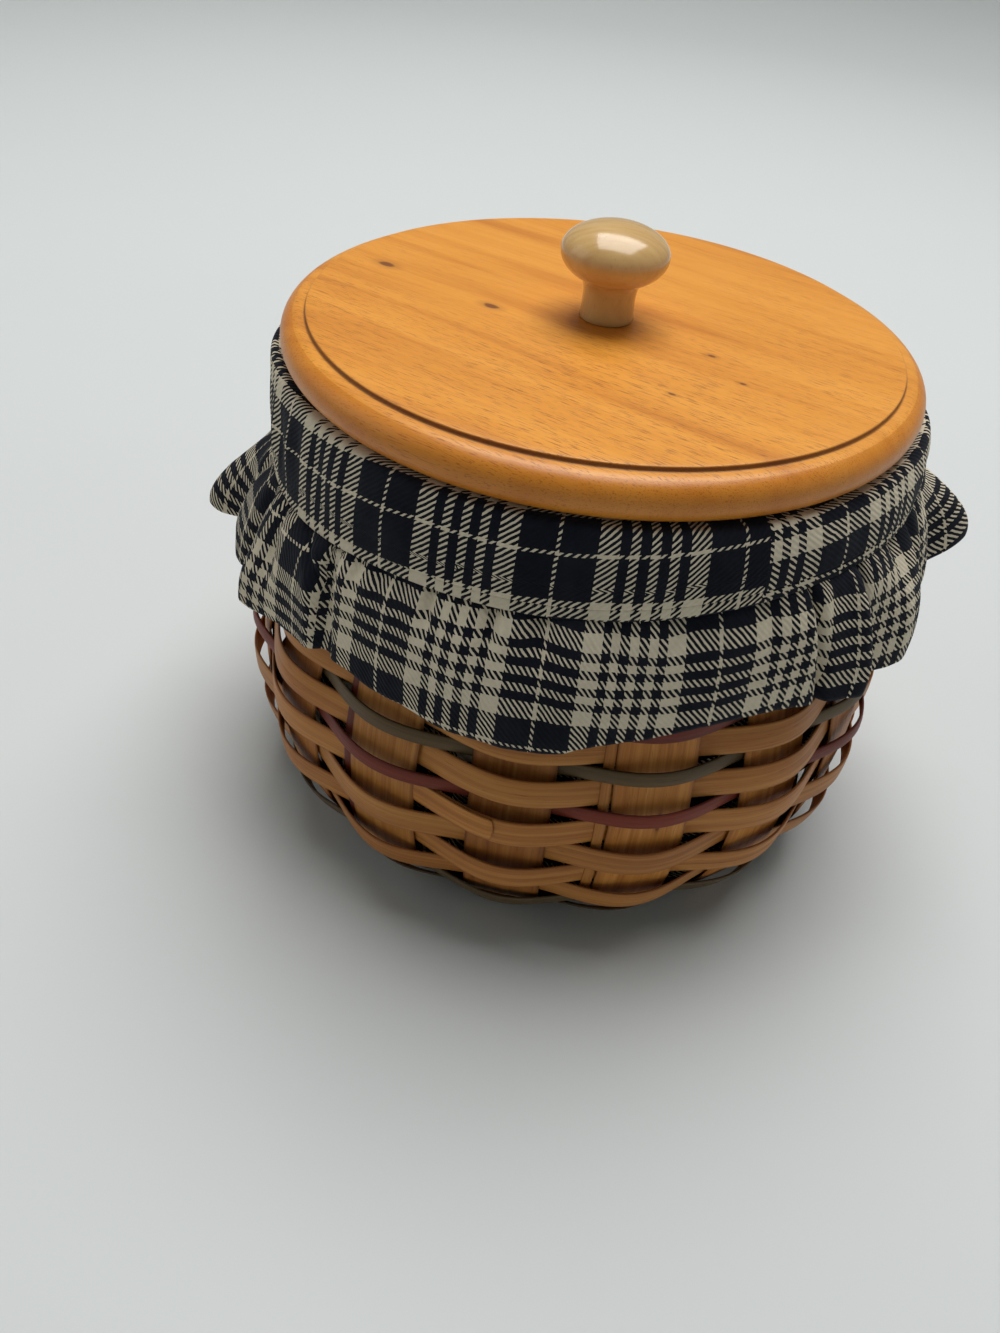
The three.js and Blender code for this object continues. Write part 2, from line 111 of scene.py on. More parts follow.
def ramp(tree, value, stops, interpolation="LINEAR"):
    node = wire(tree, "ShaderNodeValToRGB", {"Fac": value})
    node.color_ramp.interpolation = interpolation
    elements = node.color_ramp.elements
    while len(elements) > 1:
        elements.remove(elements[-1])
    elements[0].position, elements[0].color = stops[0]
    for place, shade in stops[1:]:
        elements.new(place).color = shade
    return node.outputs["Color"]


def grey(value):
    return (value, value, value, 1)


def greyRamp(tree, value, *stops):
    return ramp(tree, value, [(place, grey(level)) for place, level in stops])


def rising(tree, value, low, high, most):
    # None below low, and as much as most above high
    return calc(tree, "MULTIPLY", greyRamp(tree, value, (low, 0), (high, 1)), most)


def noiseAt(tree, vector, scale, detail=3.0, roughness=0.55, seed=0.0, distortion=0.0):
    inputs = {"Vector": vector, "W": seed, "Scale": scale, "Detail": detail, "Roughness": roughness,
              "Distortion": distortion}
    return wire(tree, "ShaderNodeTexNoise", inputs, noise_dimensions="4D").outputs["Fac"]


def bentNoise(tree, vector, scale):
    # A noise of three parts, to bend the grain with
    return wire(tree, "ShaderNodeTexNoise", {"Vector": vector, "Scale": scale, "Detail": 2.0}).outputs["Color"]


def addBump(tree, surface, layers):
    # Each layer is a height socket, its strength and its depth in metres
    normal = None
    for height, strength, depth in layers:
        node = wire(tree, "ShaderNodeBump", {"Height": height, "Strength": strength, "Distance": depth})
        if normal:
            tree.links.new(normal, node.inputs["Normal"])
        normal = node.outputs["Normal"]
    tree.links.new(normal, surface.inputs["Normal"])


def putPiece(name, mesh, material, body, replaced=()):
    piece = bpy.data.objects.new(name, mesh)
    scene.collection.objects.link(piece)
    finishPiece(piece, material, body, replaced)
    return piece


def finishPiece(piece, material, body, replaced=()):
    piece.data.materials.clear()
    piece.data.materials.append(material)
    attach(piece, body)
    if replaced:
        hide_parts(*replaced)


def tidyMesh(mesh, outward=True):
    # Joins doubled points and turns the faces outwards
    work = bmesh.new()
    work.from_mesh(mesh)
    bmesh.ops.remove_doubles(work, verts=work.verts, dist=2e-6)
    bmesh.ops.dissolve_degenerate(work, edges=work.edges, dist=1e-7)
    if outward:
        bmesh.ops.recalc_face_normals(work, faces=work.faces)
    work.to_mesh(mesh)
    work.free()
    mesh.update()
    mesh.shade_smooth()


def gridMesh(name, points, closeColumns=False, closeRows=False, uv=None, values=None, caps=False):
    # A mesh from rows of points in millimetres; values are named numbers or vectors per point
    points = np.asarray(points, float)
    columns, rows = points.shape[:2]
    index = np.arange(columns * rows).reshape(columns, rows)
    nextColumn = np.roll(index, -1, 0) if closeColumns else index[1:]
    here = index if closeColumns else index[:-1]
    if closeRows:
        faces = np.stack([here, nextColumn, np.roll(nextColumn, -1, 1), np.roll(here, -1, 1)], -1)
    else:
        faces = np.stack([here[:, :-1], nextColumn[:, :-1], nextColumn[:, 1:], here[:, 1:]], -1)
    faces = [tuple(map(int, face)) for face in faces.reshape(-1, 4)]
    if caps:
        faces.append(tuple(map(int, index[0])))
        faces.append(tuple(map(int, index[-1][::-1])))
    mesh = bpy.data.meshes.new(name)
    mesh.from_pydata([tuple(p) for p in (points.reshape(-1, 3) * mm).tolist()], [], faces)
    for key, data in (values or {}).items():
        data = np.asarray(data, float)
        vector = data.ndim == 3
        layer = mesh.attributes.new(key, "FLOAT_VECTOR" if vector else "FLOAT", "POINT")
        layer.data.foreach_set("vector" if vector else "value", data.ravel())
    if uv is not None:
        flat = np.asarray(uv, float).reshape(-1, 2) * mm
        layer = mesh.uv_layers.new(name="cut")
        corners = np.empty(len(mesh.loops), int)
        mesh.loops.foreach_get("vertex_index", corners)
        layer.data.foreach_set("uv", flat[corners].ravel())
    return mesh


def spunPoints(outline, steps):
    # Points from an outline of radius and height that is spun about the upright axis
    angles = np.arange(steps) / steps * turn
    return [[(r * math.cos(a), r * math.sin(a), h) for r, h in outline] for a in angles]


def revolveMesh(name, outline, steps):
    mesh = gridMesh(name, spunPoints(outline, steps), closeColumns=True, closeRows=True)
    tidyMesh(mesh)
    return mesh


# Camera, at the place that the photograph was taken from

cameraPlace = {
    "focal": 1100, "image": (1000, 1333), "sensor": 36, "elevation": 0.373473062, "distance": 362.698337,
    "aside": -0.0526662723, "down": 0.316625238, "roll": -0.135152643, "targetHeight": 174.5,
}


def makeCamera(place):
    up = place["elevation"]
    eye = Vector((0, -math.cos(up), math.sin(up))) * place["distance"]
    forward = -eye.normalized()
    right = Vector((1, 0, 0))
    base = Matrix((right, right.cross(forward), -forward))
    toCamera = (Matrix.Rotation(place["roll"], 3, "Z") @ Matrix.Rotation(place["down"], 3, "X")
                @ Matrix.Rotation(place["aside"], 3, "Y") @ base)
    data = bpy.data.cameras.new("camera")
    data.sensor_width = place["sensor"]
    data.lens = place["sensor"] * place["focal"] / max(place["image"])
    camera = bpy.data.objects.new("camera", data)
    scene.collection.objects.link(camera)
    eye.z += place["targetHeight"]
    camera.matrix_world = Matrix.Translation(eye * mm) @ toCamera.transposed().to_4x4()
    scene.camera = camera


makeCamera(cameraPlace)

# Light and floor

studio = {
    # the second paper colour is painted light, a lighter tone for the far floor and backdrop
    "floor": colour(204, 207, 206), "far": colour(222, 226, 224), "cloud": colour(214, 217, 216),
    "sky": colour(236, 240, 240), "skyLevel": 0.04, "aim": (0, 0, 0.1),
    # each lamp's watts, place and width
    "lamps": {"top": (48.0, (0.1, 0.55, 2.0), 1.6), "right": (0.3, (1.1, -0.2, 0.7), 0.8),
              "left": (1.6, (-1.1, -0.1, 0.75), 0.9)},
    # the floor's profile in mm, which curves up into a backdrop all round
    "floorRings": [(1, 0), (300, 0), (800, 0), (1600, 0), (2400, 50), (3000, 350), (3300, 900), (3400, 1800),
                   (3400, 4000)],
    "floorSteps": 96,
}


def makeStudio(size):
    world = bpy.data.worlds.new("studio")
    scene.world = world
    world.use_nodes = True
    plug(world.node_tree, world.node_tree.nodes["Background"], {"Color": size["sky"], "Strength": size["skyLevel"]})
    for name, (watts, place, width) in size["lamps"].items():
        data = bpy.data.lights.new(name, "AREA")
        data.shape = "SQUARE"
        data.size = width
        data.energy = watts
        lamp = bpy.data.objects.new(name, data)
        scene.collection.objects.link(lamp)
        lamp.location = place
        lamp.rotation_euler = (Vector(size["aim"]) - Vector(place)).to_track_quat("-Z", "Y").to_euler()

    material, tree, surface = newMaterial("pale paper floor")
    spot = objectPlace(tree)
    cloud = noiseAt(tree, spot, 3.0, 2.0)
    # painted light: the paper grows lighter away from the basket, to light the far floor and backdrop
    paper = ramp(tree, calc(tree, "DIVIDE", vectorCalc(tree, "LENGTH", spot), 3.0),
                 [(0.1, size["floor"]), (0.7, size["far"])])
    paper = mixColour(tree, calc(tree, "MULTIPLY", cloud, 0.5), paper, size["cloud"])
    plug(tree, surface, {"Base Color": paper, "Roughness": 0.75})
    addBump(tree, surface, [(noiseAt(tree, spot, 900.0, 2.0), 0.05, 0.0002)])
    mesh = gridMesh("floor", spunPoints(size["floorRings"], size["floorSteps"]), closeColumns=True)
    tidyMesh(mesh, outward=False)
    floor = bpy.data.objects.new("floor", mesh)
    scene.collection.objects.link(floor)
    mesh.materials.append(material)


makeStudio(studio)
print("camera, light and floor made")

# Finishes

splintShades = {
    "natural": (colour(200, 134, 62), colour(170, 101, 38), colour(102, 51, 15), colour(220, 160, 84)),
    "aged": (colour(178, 114, 52), colour(152, 88, 34), colour(90, 45, 14), colour(196, 136, 70)),
    "green": (colour(94, 74, 44), colour(74, 57, 31), colour(40, 29, 14), colour(108, 86, 54)),
    "burgundy": (colour(122, 46, 26), colour(97, 33, 17), colour(52, 17, 9), colour(136, 58, 34)),
}


def splintFinish(name, shades):
    # Thin split wood: streaks run along the strip, which the grain attribute follows
    light, middle, dark, pale = shades
    material, tree, surface = newMaterial(name)
    grain = attribute(tree, "grain", "Vector")
    shade = attribute(tree, "shade")
    edge = attribute(tree, "edge")
    seed = calc(tree, "MULTIPLY", shade, 37.0)
    bent = vectorCalc(tree, "ADD", grain, scaled(tree, bentNoise(tree, grain, 26.0), (0, 0, 0.0022)))
    streak = noiseAt(tree, scaled(tree, bent, (9, 9, 560)), 1.0, 5.0, 0.6, seed, 0.25)
    fine = noiseAt(tree, scaled(tree, bent, (60, 60, 4200)), 1.0, 3.0, 0.6, seed)
    patch = noiseAt(tree, scaled(tree, grain, (20, 20, 90)), 1.0, 3.0, 0.55, seed, 0.8)
    pore = noiseAt(tree, scaled(tree, grain, (170, 170, 3000)), 1.0, 2.0, 0.5, seed)
    wood = ramp(tree, streak, [(0.24, dark), (0.42, middle), (0.56, light), (0.72, pale)])
    wood = mixColour(tree, 0.45, wood, ramp(tree, patch, [(0.3, middle), (0.62, light)]))
    wood = mixColour(tree, rising(tree, fine, 0.56, 0.74, 0.35), wood, dark)
    wood = mixColour(tree, rising(tree, pore, 0.66, 0.72, 0.5), wood, dark)
    # a few small knots: one place in each of some cells along the strip
    moved = vectorCalc(tree, "ADD", scaled(tree, grain, (17, 17, 70)), combine(tree, z=seed))
    cells = wire(tree, "ShaderNodeTexVoronoi", {"Vector": moved, "Scale": 1.0})
    chosen = wire(tree, "ShaderNodeSeparateColor", {0: cells.outputs["Color"]}).outputs[0]
    chosen = calc(tree, "GREATER_THAN", chosen, 0.72)
    knots = greyRamp(tree, cells.outputs["Distance"], (0.02, 0.4), (0.05, 0.95), (0.075, 0.3), (0.12, 0))
    wood = mixColour(tree, calc(tree, "MULTIPLY", knots, chosen), wood, dark)
    wood = mixColour(tree, greyRamp(tree, edge, (0.86, 0), (1.0, 0.55)), wood, dark)
    level = calc(tree, "MULTIPLY_ADD", shade, 0.3, 0.82)
    wood = wire(tree, "ShaderNodeHueSaturation", {"Value": level, "Color": wood}).outputs[0]
    rough = calc(tree, "MULTIPLY_ADD", fine, 0.3, 0.34)
    plug(tree, surface, {"Base Color": wood, "Roughness": rough, "Specular IOR Level": 0.3})
    addBump(tree, surface, [(streak, 0.3, 0.0005), (fine, 0.3, 0.00018)])
    return material


finishes = {name: splintFinish(name + " splint", shades) for name, shades in splintShades.items()}

plaid = {
    "repeat": 50.0, "wide": 5.3, "narrow": 2.5, "gap": 2.8, "thin": 0.95,
    "tan": colour(229, 218, 195), "dullTan": colour(176, 163, 138), "navy": colour(22, 26, 38),
    "deepNavy": colour(10, 12, 18), "wornNavy": colour(50, 52, 60), "twill": (2.2, 1.75), "float": 0.445,
    "stitch": 2.9, "thread": 0.22,
}


def plaidFinish(name, size):
    # A yarn-dyed twill: bands of tan on navy both ways, hatched where they cross navy
    material, tree, surface = newMaterial(name)
    cut = wire(tree, "ShaderNodeUVMap", uv_map="cut").outputs["UV"]
    whole = size["repeat"]
    stops = [(0.0, grey(1)), (size["thin"] / 2 / whole, grey(0))]
    bands = [size["wide"]] + [size["narrow"]] * 3 + [size["wide"]]
    place = (whole - sum(bands) - 4 * size["gap"]) / 2
    for width in bands:
        stops += [(place / whole, grey(1)), ((place + width) / whole, grey(0))]
        place += width + size["gap"]
    stops.append((1 - size["thin"] / 2 / whole, grey(1)))

    def yarnBands(value):
        share = calc(tree, "FRACT", calc(tree, "DIVIDE", value, whole * mm))
        return wire(tree, "ShaderNodeSeparateColor", {0: ramp(tree, share, stops, "CONSTANT")}).outputs[0]

    wobble = noiseAt(tree, cut, 260.0, 2.0)
    acrossWarp = calc(tree, "ADD", axis(tree, cut, 0), calc(tree, "MULTIPLY_ADD", wobble, 0.0005, -0.00025))
    acrossWeft = calc(tree, "ADD", axis(tree, cut, 1), calc(tree, "MULTIPLY_ADD", wobble, -0.0005, 0.00025))
    warp, weft = yarnBands(acrossWarp), yarnBands(acrossWeft)
    slope = calc(tree, "SUBTRACT", calc(tree, "DIVIDE", acrossWarp, size["twill"][0] * mm),
                 calc(tree, "DIVIDE", acrossWeft, size["twill"][1] * mm))
    phase = calc(tree, "FRACT", slope)
    other = calc(tree, "FRACT", calc(tree, "ADD", slope, 0.5))
    hatched = calc(tree, "MAXIMUM", calc(tree, "MULTIPLY", warp, calc(tree, "LESS_THAN", phase, size["float"])),
                   calc(tree, "MULTIPLY", weft, calc(tree, "LESS_THAN", other, size["float"])))
    tanShare = calc(tree, "MAXIMUM", hatched, calc(tree, "MULTIPLY", warp, weft))
    mottle = noiseAt(tree, cut, 420.0, 4.0, 0.65)
    worn = noiseAt(tree, cut, 45.0, 3.0, 0.6)
    tan = mixColour(tree, calc(tree, "MULTIPLY", mottle, 0.7), size["tan"], size["dullTan"])
    stitch = calc(tree, "ABSOLUTE", calc(tree, "SUBTRACT", attribute(tree, "toSeam"), size["stitch"]))
    tanShare = calc(tree, "MULTIPLY", tanShare, calc(tree, "GREATER_THAN", stitch, size["thread"]))
    navy = mixColour(tree, mottle, size["deepNavy"], size["navy"])
    navy = mixColour(tree, greyRamp(tree, worn, (0.45, 0), (0.8, 0.3)), navy, size["wornNavy"])
    plug(tree, surface, {"Base Color": mixColour(tree, tanShare, navy, tan), "Roughness": 0.88,
                         "Specular IOR Level": 0.12, "Sheen Weight": 0.04, "Sheen Roughness": 0.5})
    ribs = calc(tree, "SINE", calc(tree, "MULTIPLY", slope, turn))
    threads = noiseAt(tree, scaled(tree, cut, (2600, 900, 1)), 1.0, 2.0)
    creases = noiseAt(tree, cut, 90.0, 3.0)
    addBump(tree, surface, [(ribs, 0.35, 0.0002), (threads, 0.4, 0.00018), (creases, 0.5, 0.0008)])
    return material


finishes["plaid"] = plaidFinish("navy and tan plaid", plaid)

lidShades = {
    "light": colour(232, 158, 62), "middle": colour(220, 144, 49), "dark": colour(186, 106, 27),
    "pore": colour(142, 78, 26), "knot": colour(112, 58, 24), "edge": colour(188, 101, 8),
    # the crease colour is a painted shadow for the corner below the panel
    "crease": colour(96, 46, 10), "grainTurn": 0.46, "aside": -1.0, "panelFrom": 172.5,
    # the painted shadow in the corner below the panel: where it begins in height and in radius, and the span that is
    # looked at
    "corner": (172.0, 92.0, 2.5),
    # each knot's place and reach
    "knots": [(-75.1, 19.9, 4.2), (-36.9, -3.6, 3.6), (20.5, -48.7, 1.6), (32.1, -18.8, 2.0), (40.7, -35.6, 1.7)],
}


def lidFinish(name, size):
    # Honey stained board: long grain left to right, fine pores, a few small knots
    material, tree, surface = newMaterial(name)
    spot = objectPlace(tree)
    turned = wire(tree, "ShaderNodeMapping", {"Vector": spot, "Rotation": (0, 0, size["grainTurn"])}).outputs[0]
    along = vectorCalc(tree, "ADD", turned, scaled(tree, bentNoise(tree, turned, 6.0), (0.02, 0.012, 0.012)))
    bands = noiseAt(tree, scaled(tree, along, (5, 95, 60)), 1.0, 4.0, 0.55, 3.1, 0.4)
    fine = noiseAt(tree, scaled(tree, along, (40, 900, 700)), 1.0, 4.0, 0.65, 1.7)
    pore = noiseAt(tree, scaled(tree, turned, (210, 3400, 3400)), 1.0, 2.0, 0.5, 5.0)
    nearness = calc(tree, "MULTIPLY", axis(tree, spot, 1), -3.2)
    poreField = calc(tree, "ADD", noiseAt(tree, turned, 16.0, 2.0, 0.5, 11.0), nearness)
    cloud = noiseAt(tree, turned, 14.0, 3.0, 0.5, 8.0)
    wood = ramp(tree, bands, [(0.33, size["dark"]), (0.47, size["middle"]), (0.6, size["light"])])
    wood = mixColour(tree, 0.4, wood, ramp(tree, cloud, [(0.3, size["middle"]), (0.7, size["light"])]))
    wood = mixColour(tree, rising(tree, fine, 0.5, 0.75, 0.3), wood, size["dark"])
    pores = calc(tree, "MULTIPLY", greyRamp(tree, pore, (0.56, 0), (0.64, 0.85)),
                 greyRamp(tree, poreField, (0.38, 0.15), (0.72, 0.9)))
    wood = mixColour(tree, pores, wood, size["pore"])
    cosTurn, sinTurn = math.cos(size["grainTurn"]), math.sin(size["grainTurn"])
    for spotX, spotY, width in size["knots"]:
        x, y = spotX * cosTurn - spotY * sinTurn, spotX * sinTurn + spotY * cosTurn
        reach = vectorCalc(tree, "DISTANCE", scaled(tree, turned, (0.55, 1, 0)), (x * mm * 0.55, y * mm, 0))
        ringed = calc(tree, "ADD", reach, calc(tree, "MULTIPLY_ADD", fine, 0.0016, -0.0008))
        mark = greyRamp(tree, calc(tree, "DIVIDE", ringed, width * mm), (0.3, 1), (0.45, 0.3), (1.0, 0))
        wood = mixColour(tree, calc(tree, "MULTIPLY", mark, 0.9), wood, size["knot"])
    # the turned edge below the panel is coloured darker and a deeper orange than the panel
    height = axis(tree, spot, 2)
    panel = calc(tree, "GREATER_THAN", height, size["panelFrom"] * mm)
    wood = mixColour(tree, calc(tree, "MULTIPLY_ADD", panel, -0.42, 0.42), wood, size["edge"])
    # painted shadow: a dark band in the corner below the panel, where the panel's step casts shade
    centred = vectorCalc(tree, "ADD", spot, (-size["aside"] * mm, 0, 0))
    fromAxis = vectorCalc(tree, "LENGTH", scaled(tree, centred, (1, 1, 0)))
    cornerHeight, cornerRadius, span = size["corner"]

    def shadowBand(value, start, *stops):
        return greyRamp(tree, calc(tree, "MULTIPLY_ADD", value, 1 / (span * mm), -start / span), *stops)

    corner = calc(tree, "MULTIPLY", shadowBand(height, cornerHeight, (0.2, 0.4), (0.4, 1), (0.8, 1), (0.98, 0)),
                  shadowBand(fromAxis, cornerRadius, (0.2, 0), (0.3, 1), (0.36, 0.8), (0.6, 0)))
    wood = mixColour(tree, calc(tree, "MULTIPLY", corner, 0.85), wood, size["crease"])
    plug(tree, surface, {"Base Color": wood, "Roughness": calc(tree, "MULTIPLY_ADD", fine, 0.2, 0.26),
                         "Specular IOR Level": 0.42})
    addBump(tree, surface, [(bands, 0.2, 0.0003), (fine, 0.25, 0.00012), (pores, 0.2, -0.0001)])
    return material


finishes["lid"] = lidFinish("honey stained lid", lidShades)


knobShades = {
    "dark": colour(194, 154, 98), "middle": colour(205, 167, 110), "light": colour(216, 180, 124),
    "fleck": colour(160, 128, 84),
}


def knobFinish(name, size):
    material, tree, surface = newMaterial(name)
    spot = objectPlace(tree)
    rings = noiseAt(tree, scaled(tree, spot, (60, 420, 90)), 1.0, 3.0, 0.55, 2.0, 0.5)
    fleck = noiseAt(tree, scaled(tree, spot, (1500, 1500, 320)), 1.0, 2.0, 0.5, 4.0)
    wood = ramp(tree, rings, [(0.25, size["dark"]), (0.5, size["middle"]), (0.75, size["light"])])
    wood = mixColour(tree, rising(tree, fleck, 0.6, 0.72, 0.3), wood, size["fleck"])
    plug(tree, surface, {"Base Color": wood, "Roughness": calc(tree, "MULTIPLY_ADD", fleck, 0.08, 0.16),
                         "Specular IOR Level": 0.35, "Coat Weight": 0.35, "Coat Roughness": 0.07})
    addBump(tree, surface, [(rings, 0.12, 0.0003), (noiseAt(tree, spot, 180.0, 2.0), 0.15, 0.0004)])
    return material


finishes["knob"] = knobFinish("varnished knob", knobShades)


def steelFinish(name):
    material, tree, surface = newMaterial(name)
    scratches = noiseAt(tree, scaled(tree, objectPlace(tree), (4000, 300, 300)), 1.0, 3.0)
    steel = ramp(tree, scratches, [(0.3, colour(150, 152, 156)), (0.7, colour(205, 206, 208))])
    rough = calc(tree, "MULTIPLY_ADD", scratches, 0.25, 0.25)
    plug(tree, surface, {"Base Color": steel, "Metallic": 1.0, "Roughness": rough})
    addBump(tree, surface, [(scratches, 0.3, 0.0001)])
    return material


finishes["steel"] = steelFinish("screw steel")
print("finishes made")

# The basket's shape: the middle of the uprights' thickness, radius and height in mm

wall = {
    "stakes": 16, "firstStake": -4, "thickness": 1.0, "stakeWidth": 25.4, "waistWidth": 8, "waistRadius": 20,
    "taperEnd": 100, "foot": (62, 74), "footHeight": 2.2, "domeHeight": 4.2, "belly": (110.4, 60), "neck": (96.5, 159),
    "rimWidth": 14, "gap": 0.3, "stackStep": 1.3,
}


def bezier(points, steps=240):
    t = np.linspace(0, 1, steps)[:, None]
    a, b, c, d = (np.array(p, float) for p in points)
    return a * (1 - t) ** 3 + 3 * b * t * (1 - t) ** 2 + 3 * c * t * t * (1 - t) + d * t ** 3


def runLength(points):
    # How far along a row of points each of them lies
    return np.concatenate([[0], np.cumsum(np.linalg.norm(np.diff(points, axis=0), axis=1))])


waist, foot, belly, neck = wall["waistRadius"], wall["foot"], wall["belly"], wall["neck"]
low, dome, halfway = wall["footHeight"], wall["domeHeight"], (waist + foot[0]) / 2
meridianParts = [
    bezier([(waist, dome), (halfway, dome), (halfway, low), (foot[0], low)]),
    np.linspace((foot[0], low), (foot[1], low), 40),
    bezier([(foot[1], low), (foot[1] + 16, low), (belly[0], belly[1] - 54), belly]),
    bezier([belly, (belly[0], belly[1] + 16), (neck[0] + 1, neck[1] - 45), neck]),
]
meridian = np.concatenate([meridianParts[0]] + [part[1:] for part in meridianParts[1:]])
meridianSteps = runLength(meridian)
tangents = np.gradient(meridian, meridianSteps, axis=0)
tangents /= np.linalg.norm(tangents, axis=1)[:, None]
wallLength = meridianSteps[-1]
lastOfPart = np.cumsum([len(part) - 1 for part in meridianParts])
partEnds = meridianSteps[lastOfPart]


def onWall(length):
    # The point and the outward direction at a length along the meridian from the waist
    point = [np.interp(length, meridianSteps, meridian[:, k]) for k in (0, 1)]
    along = [np.interp(length, meridianSteps, tangents[:, k]) for k in (0, 1)]
    return point, (along[1], -along[0])


def wallAt(height):
    # The radius of the uprights' middle at a height on the wall
    upper = meridianSteps > partEnds[1]
    return np.interp(height, meridian[upper, 1], meridian[upper, 0])


def stripSection(width, thickness, count, crown):
    # Round a thin strip: how far across it and how far out of it, with softened edges
    turns = np.arange(count) / count * turn
    side = np.sign(np.cos(turns)) * np.abs(np.cos(turns)) ** 0.35 * width / 2
    face = np.sign(np.sin(turns)) * np.abs(np.sin(turns)) ** 0.5 * thickness / 2
    return side, face + crown * (1 - (2 * side / width) ** 2)


# Weavers: one Geometry Nodes tree grows every row round the basket

weave = {
    "around": 288, "section": 16, "seed": 7,
    # in mm: a strip's thickness and bend, and how it goes in and out between the uprights
    "sizes": {"thickness": 1.0, "crown": 0.22, "middle": 0.6, "reach": 3.4, "second": 0.4, "wobble": 0.5,
              "ripple": 0.35},
    "rows": [("green", 8.8)] * 3 + [("natural", 10.2)] * 4
            + [("burgundy", 4.8), ("natural", 9.6), ("green", 4.8), ("natural", 9.6), ("burgundy", 4.8)]
            + [("natural", 11.4)] * 4,
    # the low rows are drawn tight, and the floor is close below the lowest
    "tight": {1: {"middle": 0.2, "reach": 1.9}, 2: {"middle": 0.5, "reach": 2.0}, 3: {"middle": 0.5, "reach": 2.2}},
}


def weaverTree(name):
    tree = bpy.data.node_groups.new(name, "GeometryNodeTree")
    tree.interface.new_socket(name="Geometry", in_out="OUTPUT", socket_type="NodeSocketGeometry")
    sockets = {
        "NodeSocketFloat": ["Radius", "Height", "Out X", "Out Z", "Width", "Thickness", "Crown", "Middle", "Reach",
                            "Second", "Waves", "Phase", "Wobble", "Ripple", "Seed", "Shade", "Start", "Sweep", "Tip"],
        "NodeSocketInt": ["Around", "Section"], "NodeSocketMaterial": ["Finish"],
    }
    for kind, labels in sockets.items():
        for label in labels:
            tree.interface.new_socket(name=label, in_out="INPUT", socket_type=kind)
    given = tree.nodes.new("NodeGroupInput").outputs

    def sum2(a, b):
        return calc(tree, "ADD", a, b)

    def times(a, b):
        return calc(tree, "MULTIPLY", a, b)

    grid = wire(tree, "GeometryNodeMeshGrid", {"Size X": 1.0, "Size Y": 1.0, "Vertices X": sum2(given["Around"], 1),
                                               "Vertices Y": sum2(given["Section"], 1)})
    place = wire(tree, "ShaderNodeSeparateXYZ", {0: tree.nodes.new("GeometryNodeInputPosition").outputs[0]})
    share = sum2(place.outputs[0], 0.5)
    angle = sum2(given["Start"], times(share, given["Sweep"]))
    cosine, sine = calc(tree, "COSINE", angle), calc(tree, "SINE", angle)
    circle = combine(tree, cosine, sine)
    shift = times(sum2(noiseAt(tree, circle, 3.0, 2.0, 0.5, given["Seed"]), -0.5), given["Wobble"])
    slide = times(sum2(noiseAt(tree, circle, 9.0, 3.0, 0.5, sum2(given["Seed"], 31.0)), -0.5), given["Ripple"])
    wave = sum2(times(angle, given["Waves"]), given["Phase"])
    crest = calc(tree, "COSINE", wave)
    swing = sum2(times(crest, given["Reach"]), times(calc(tree, "COSINE", times(wave, 2.0)), given["Second"]))
    depth = sum2(sum2(given["Middle"], swing), shift)
    # the ends of an open strip are pared down over the tip, and a closed one has no tip
    fromEnd = calc(tree, "MINIMUM", share, calc(tree, "SUBTRACT", 1.0, share))
    shortest = 0.00001
    taper = calc(tree, "DIVIDE", fromEnd, calc(tree, "MAXIMUM", given["Tip"], shortest), clamp=True)
    pared = calc(tree, "MAXIMUM", taper, calc(tree, "LESS_THAN", given["Tip"], shortest))
    section = times(sum2(place.outputs[1], 0.5), turn)
    cosRound, sinRound = calc(tree, "COSINE", section), calc(tree, "SINE", section)
    side = times(calc(tree, "SIGN", cosRound), calc(tree, "POWER", calc(tree, "ABSOLUTE", cosRound), 0.35))
    face = times(calc(tree, "SIGN", sinRound), calc(tree, "POWER", calc(tree, "ABSOLUTE", sinRound), 0.5))
    crown = times(given["Crown"], calc(tree, "SUBTRACT", 1.0, times(side, side)))
    half = times(given["Width"], 0.5)
    # the face is left a hair thick at the tip, and the width closes to a point there
    across = sum2(times(times(side, half), calc(tree, "POWER", pared, 0.15)), slide)
    out = sum2(sum2(depth, crown), times(times(times(face, 0.5), given["Thickness"]), pared))
    radius = sum2(given["Radius"], calc(tree, "SUBTRACT", times(given["Out X"], out), times(given["Out Z"], across)))
    height = sum2(given["Height"], sum2(times(given["Out Z"], out), times(given["Out X"], across)))
    spot = combine(tree, times(radius, cosine), times(radius, sine), height)
    grain = combine(tree, times(radius, cosine), times(radius, sine), across)
    # each value is worked out on the grid, so all are stored before the points move
    stores = [("grain", "FLOAT_VECTOR", grain), ("shade", "FLOAT", given["Shade"]),
              ("edge", "FLOAT", calc(tree, "ABSOLUTE", side))]
    mesh = grid.outputs["Mesh"]
    for label, kind, value in stores:
        store = wire(tree, "GeometryNodeStoreNamedAttribute", {"Geometry": mesh, "Name": label}, data_type=kind,
                     domain="POINT")
        tree.links.new(value, next(s for s in store.inputs if s.name == "Value" and s.enabled))
        mesh = store.outputs[0]
    last = [("SetPosition", {"Position": spot}), ("MergeByDistance", {"Distance": 1e-6}), ("SetShadeSmooth", {}),
            ("RealizeInstances", {}), ("SetMaterial", {"Material": given["Finish"]})]
    for kind, inputs in last:
        mesh = wire(tree, "GeometryNode" + kind, {0: mesh, **inputs}).outputs[0]
    tree.links.new(mesh, tree.nodes.new("NodeGroupOutput").inputs[0])
    return tree


weaverNodes = weaverTree("weaver row")


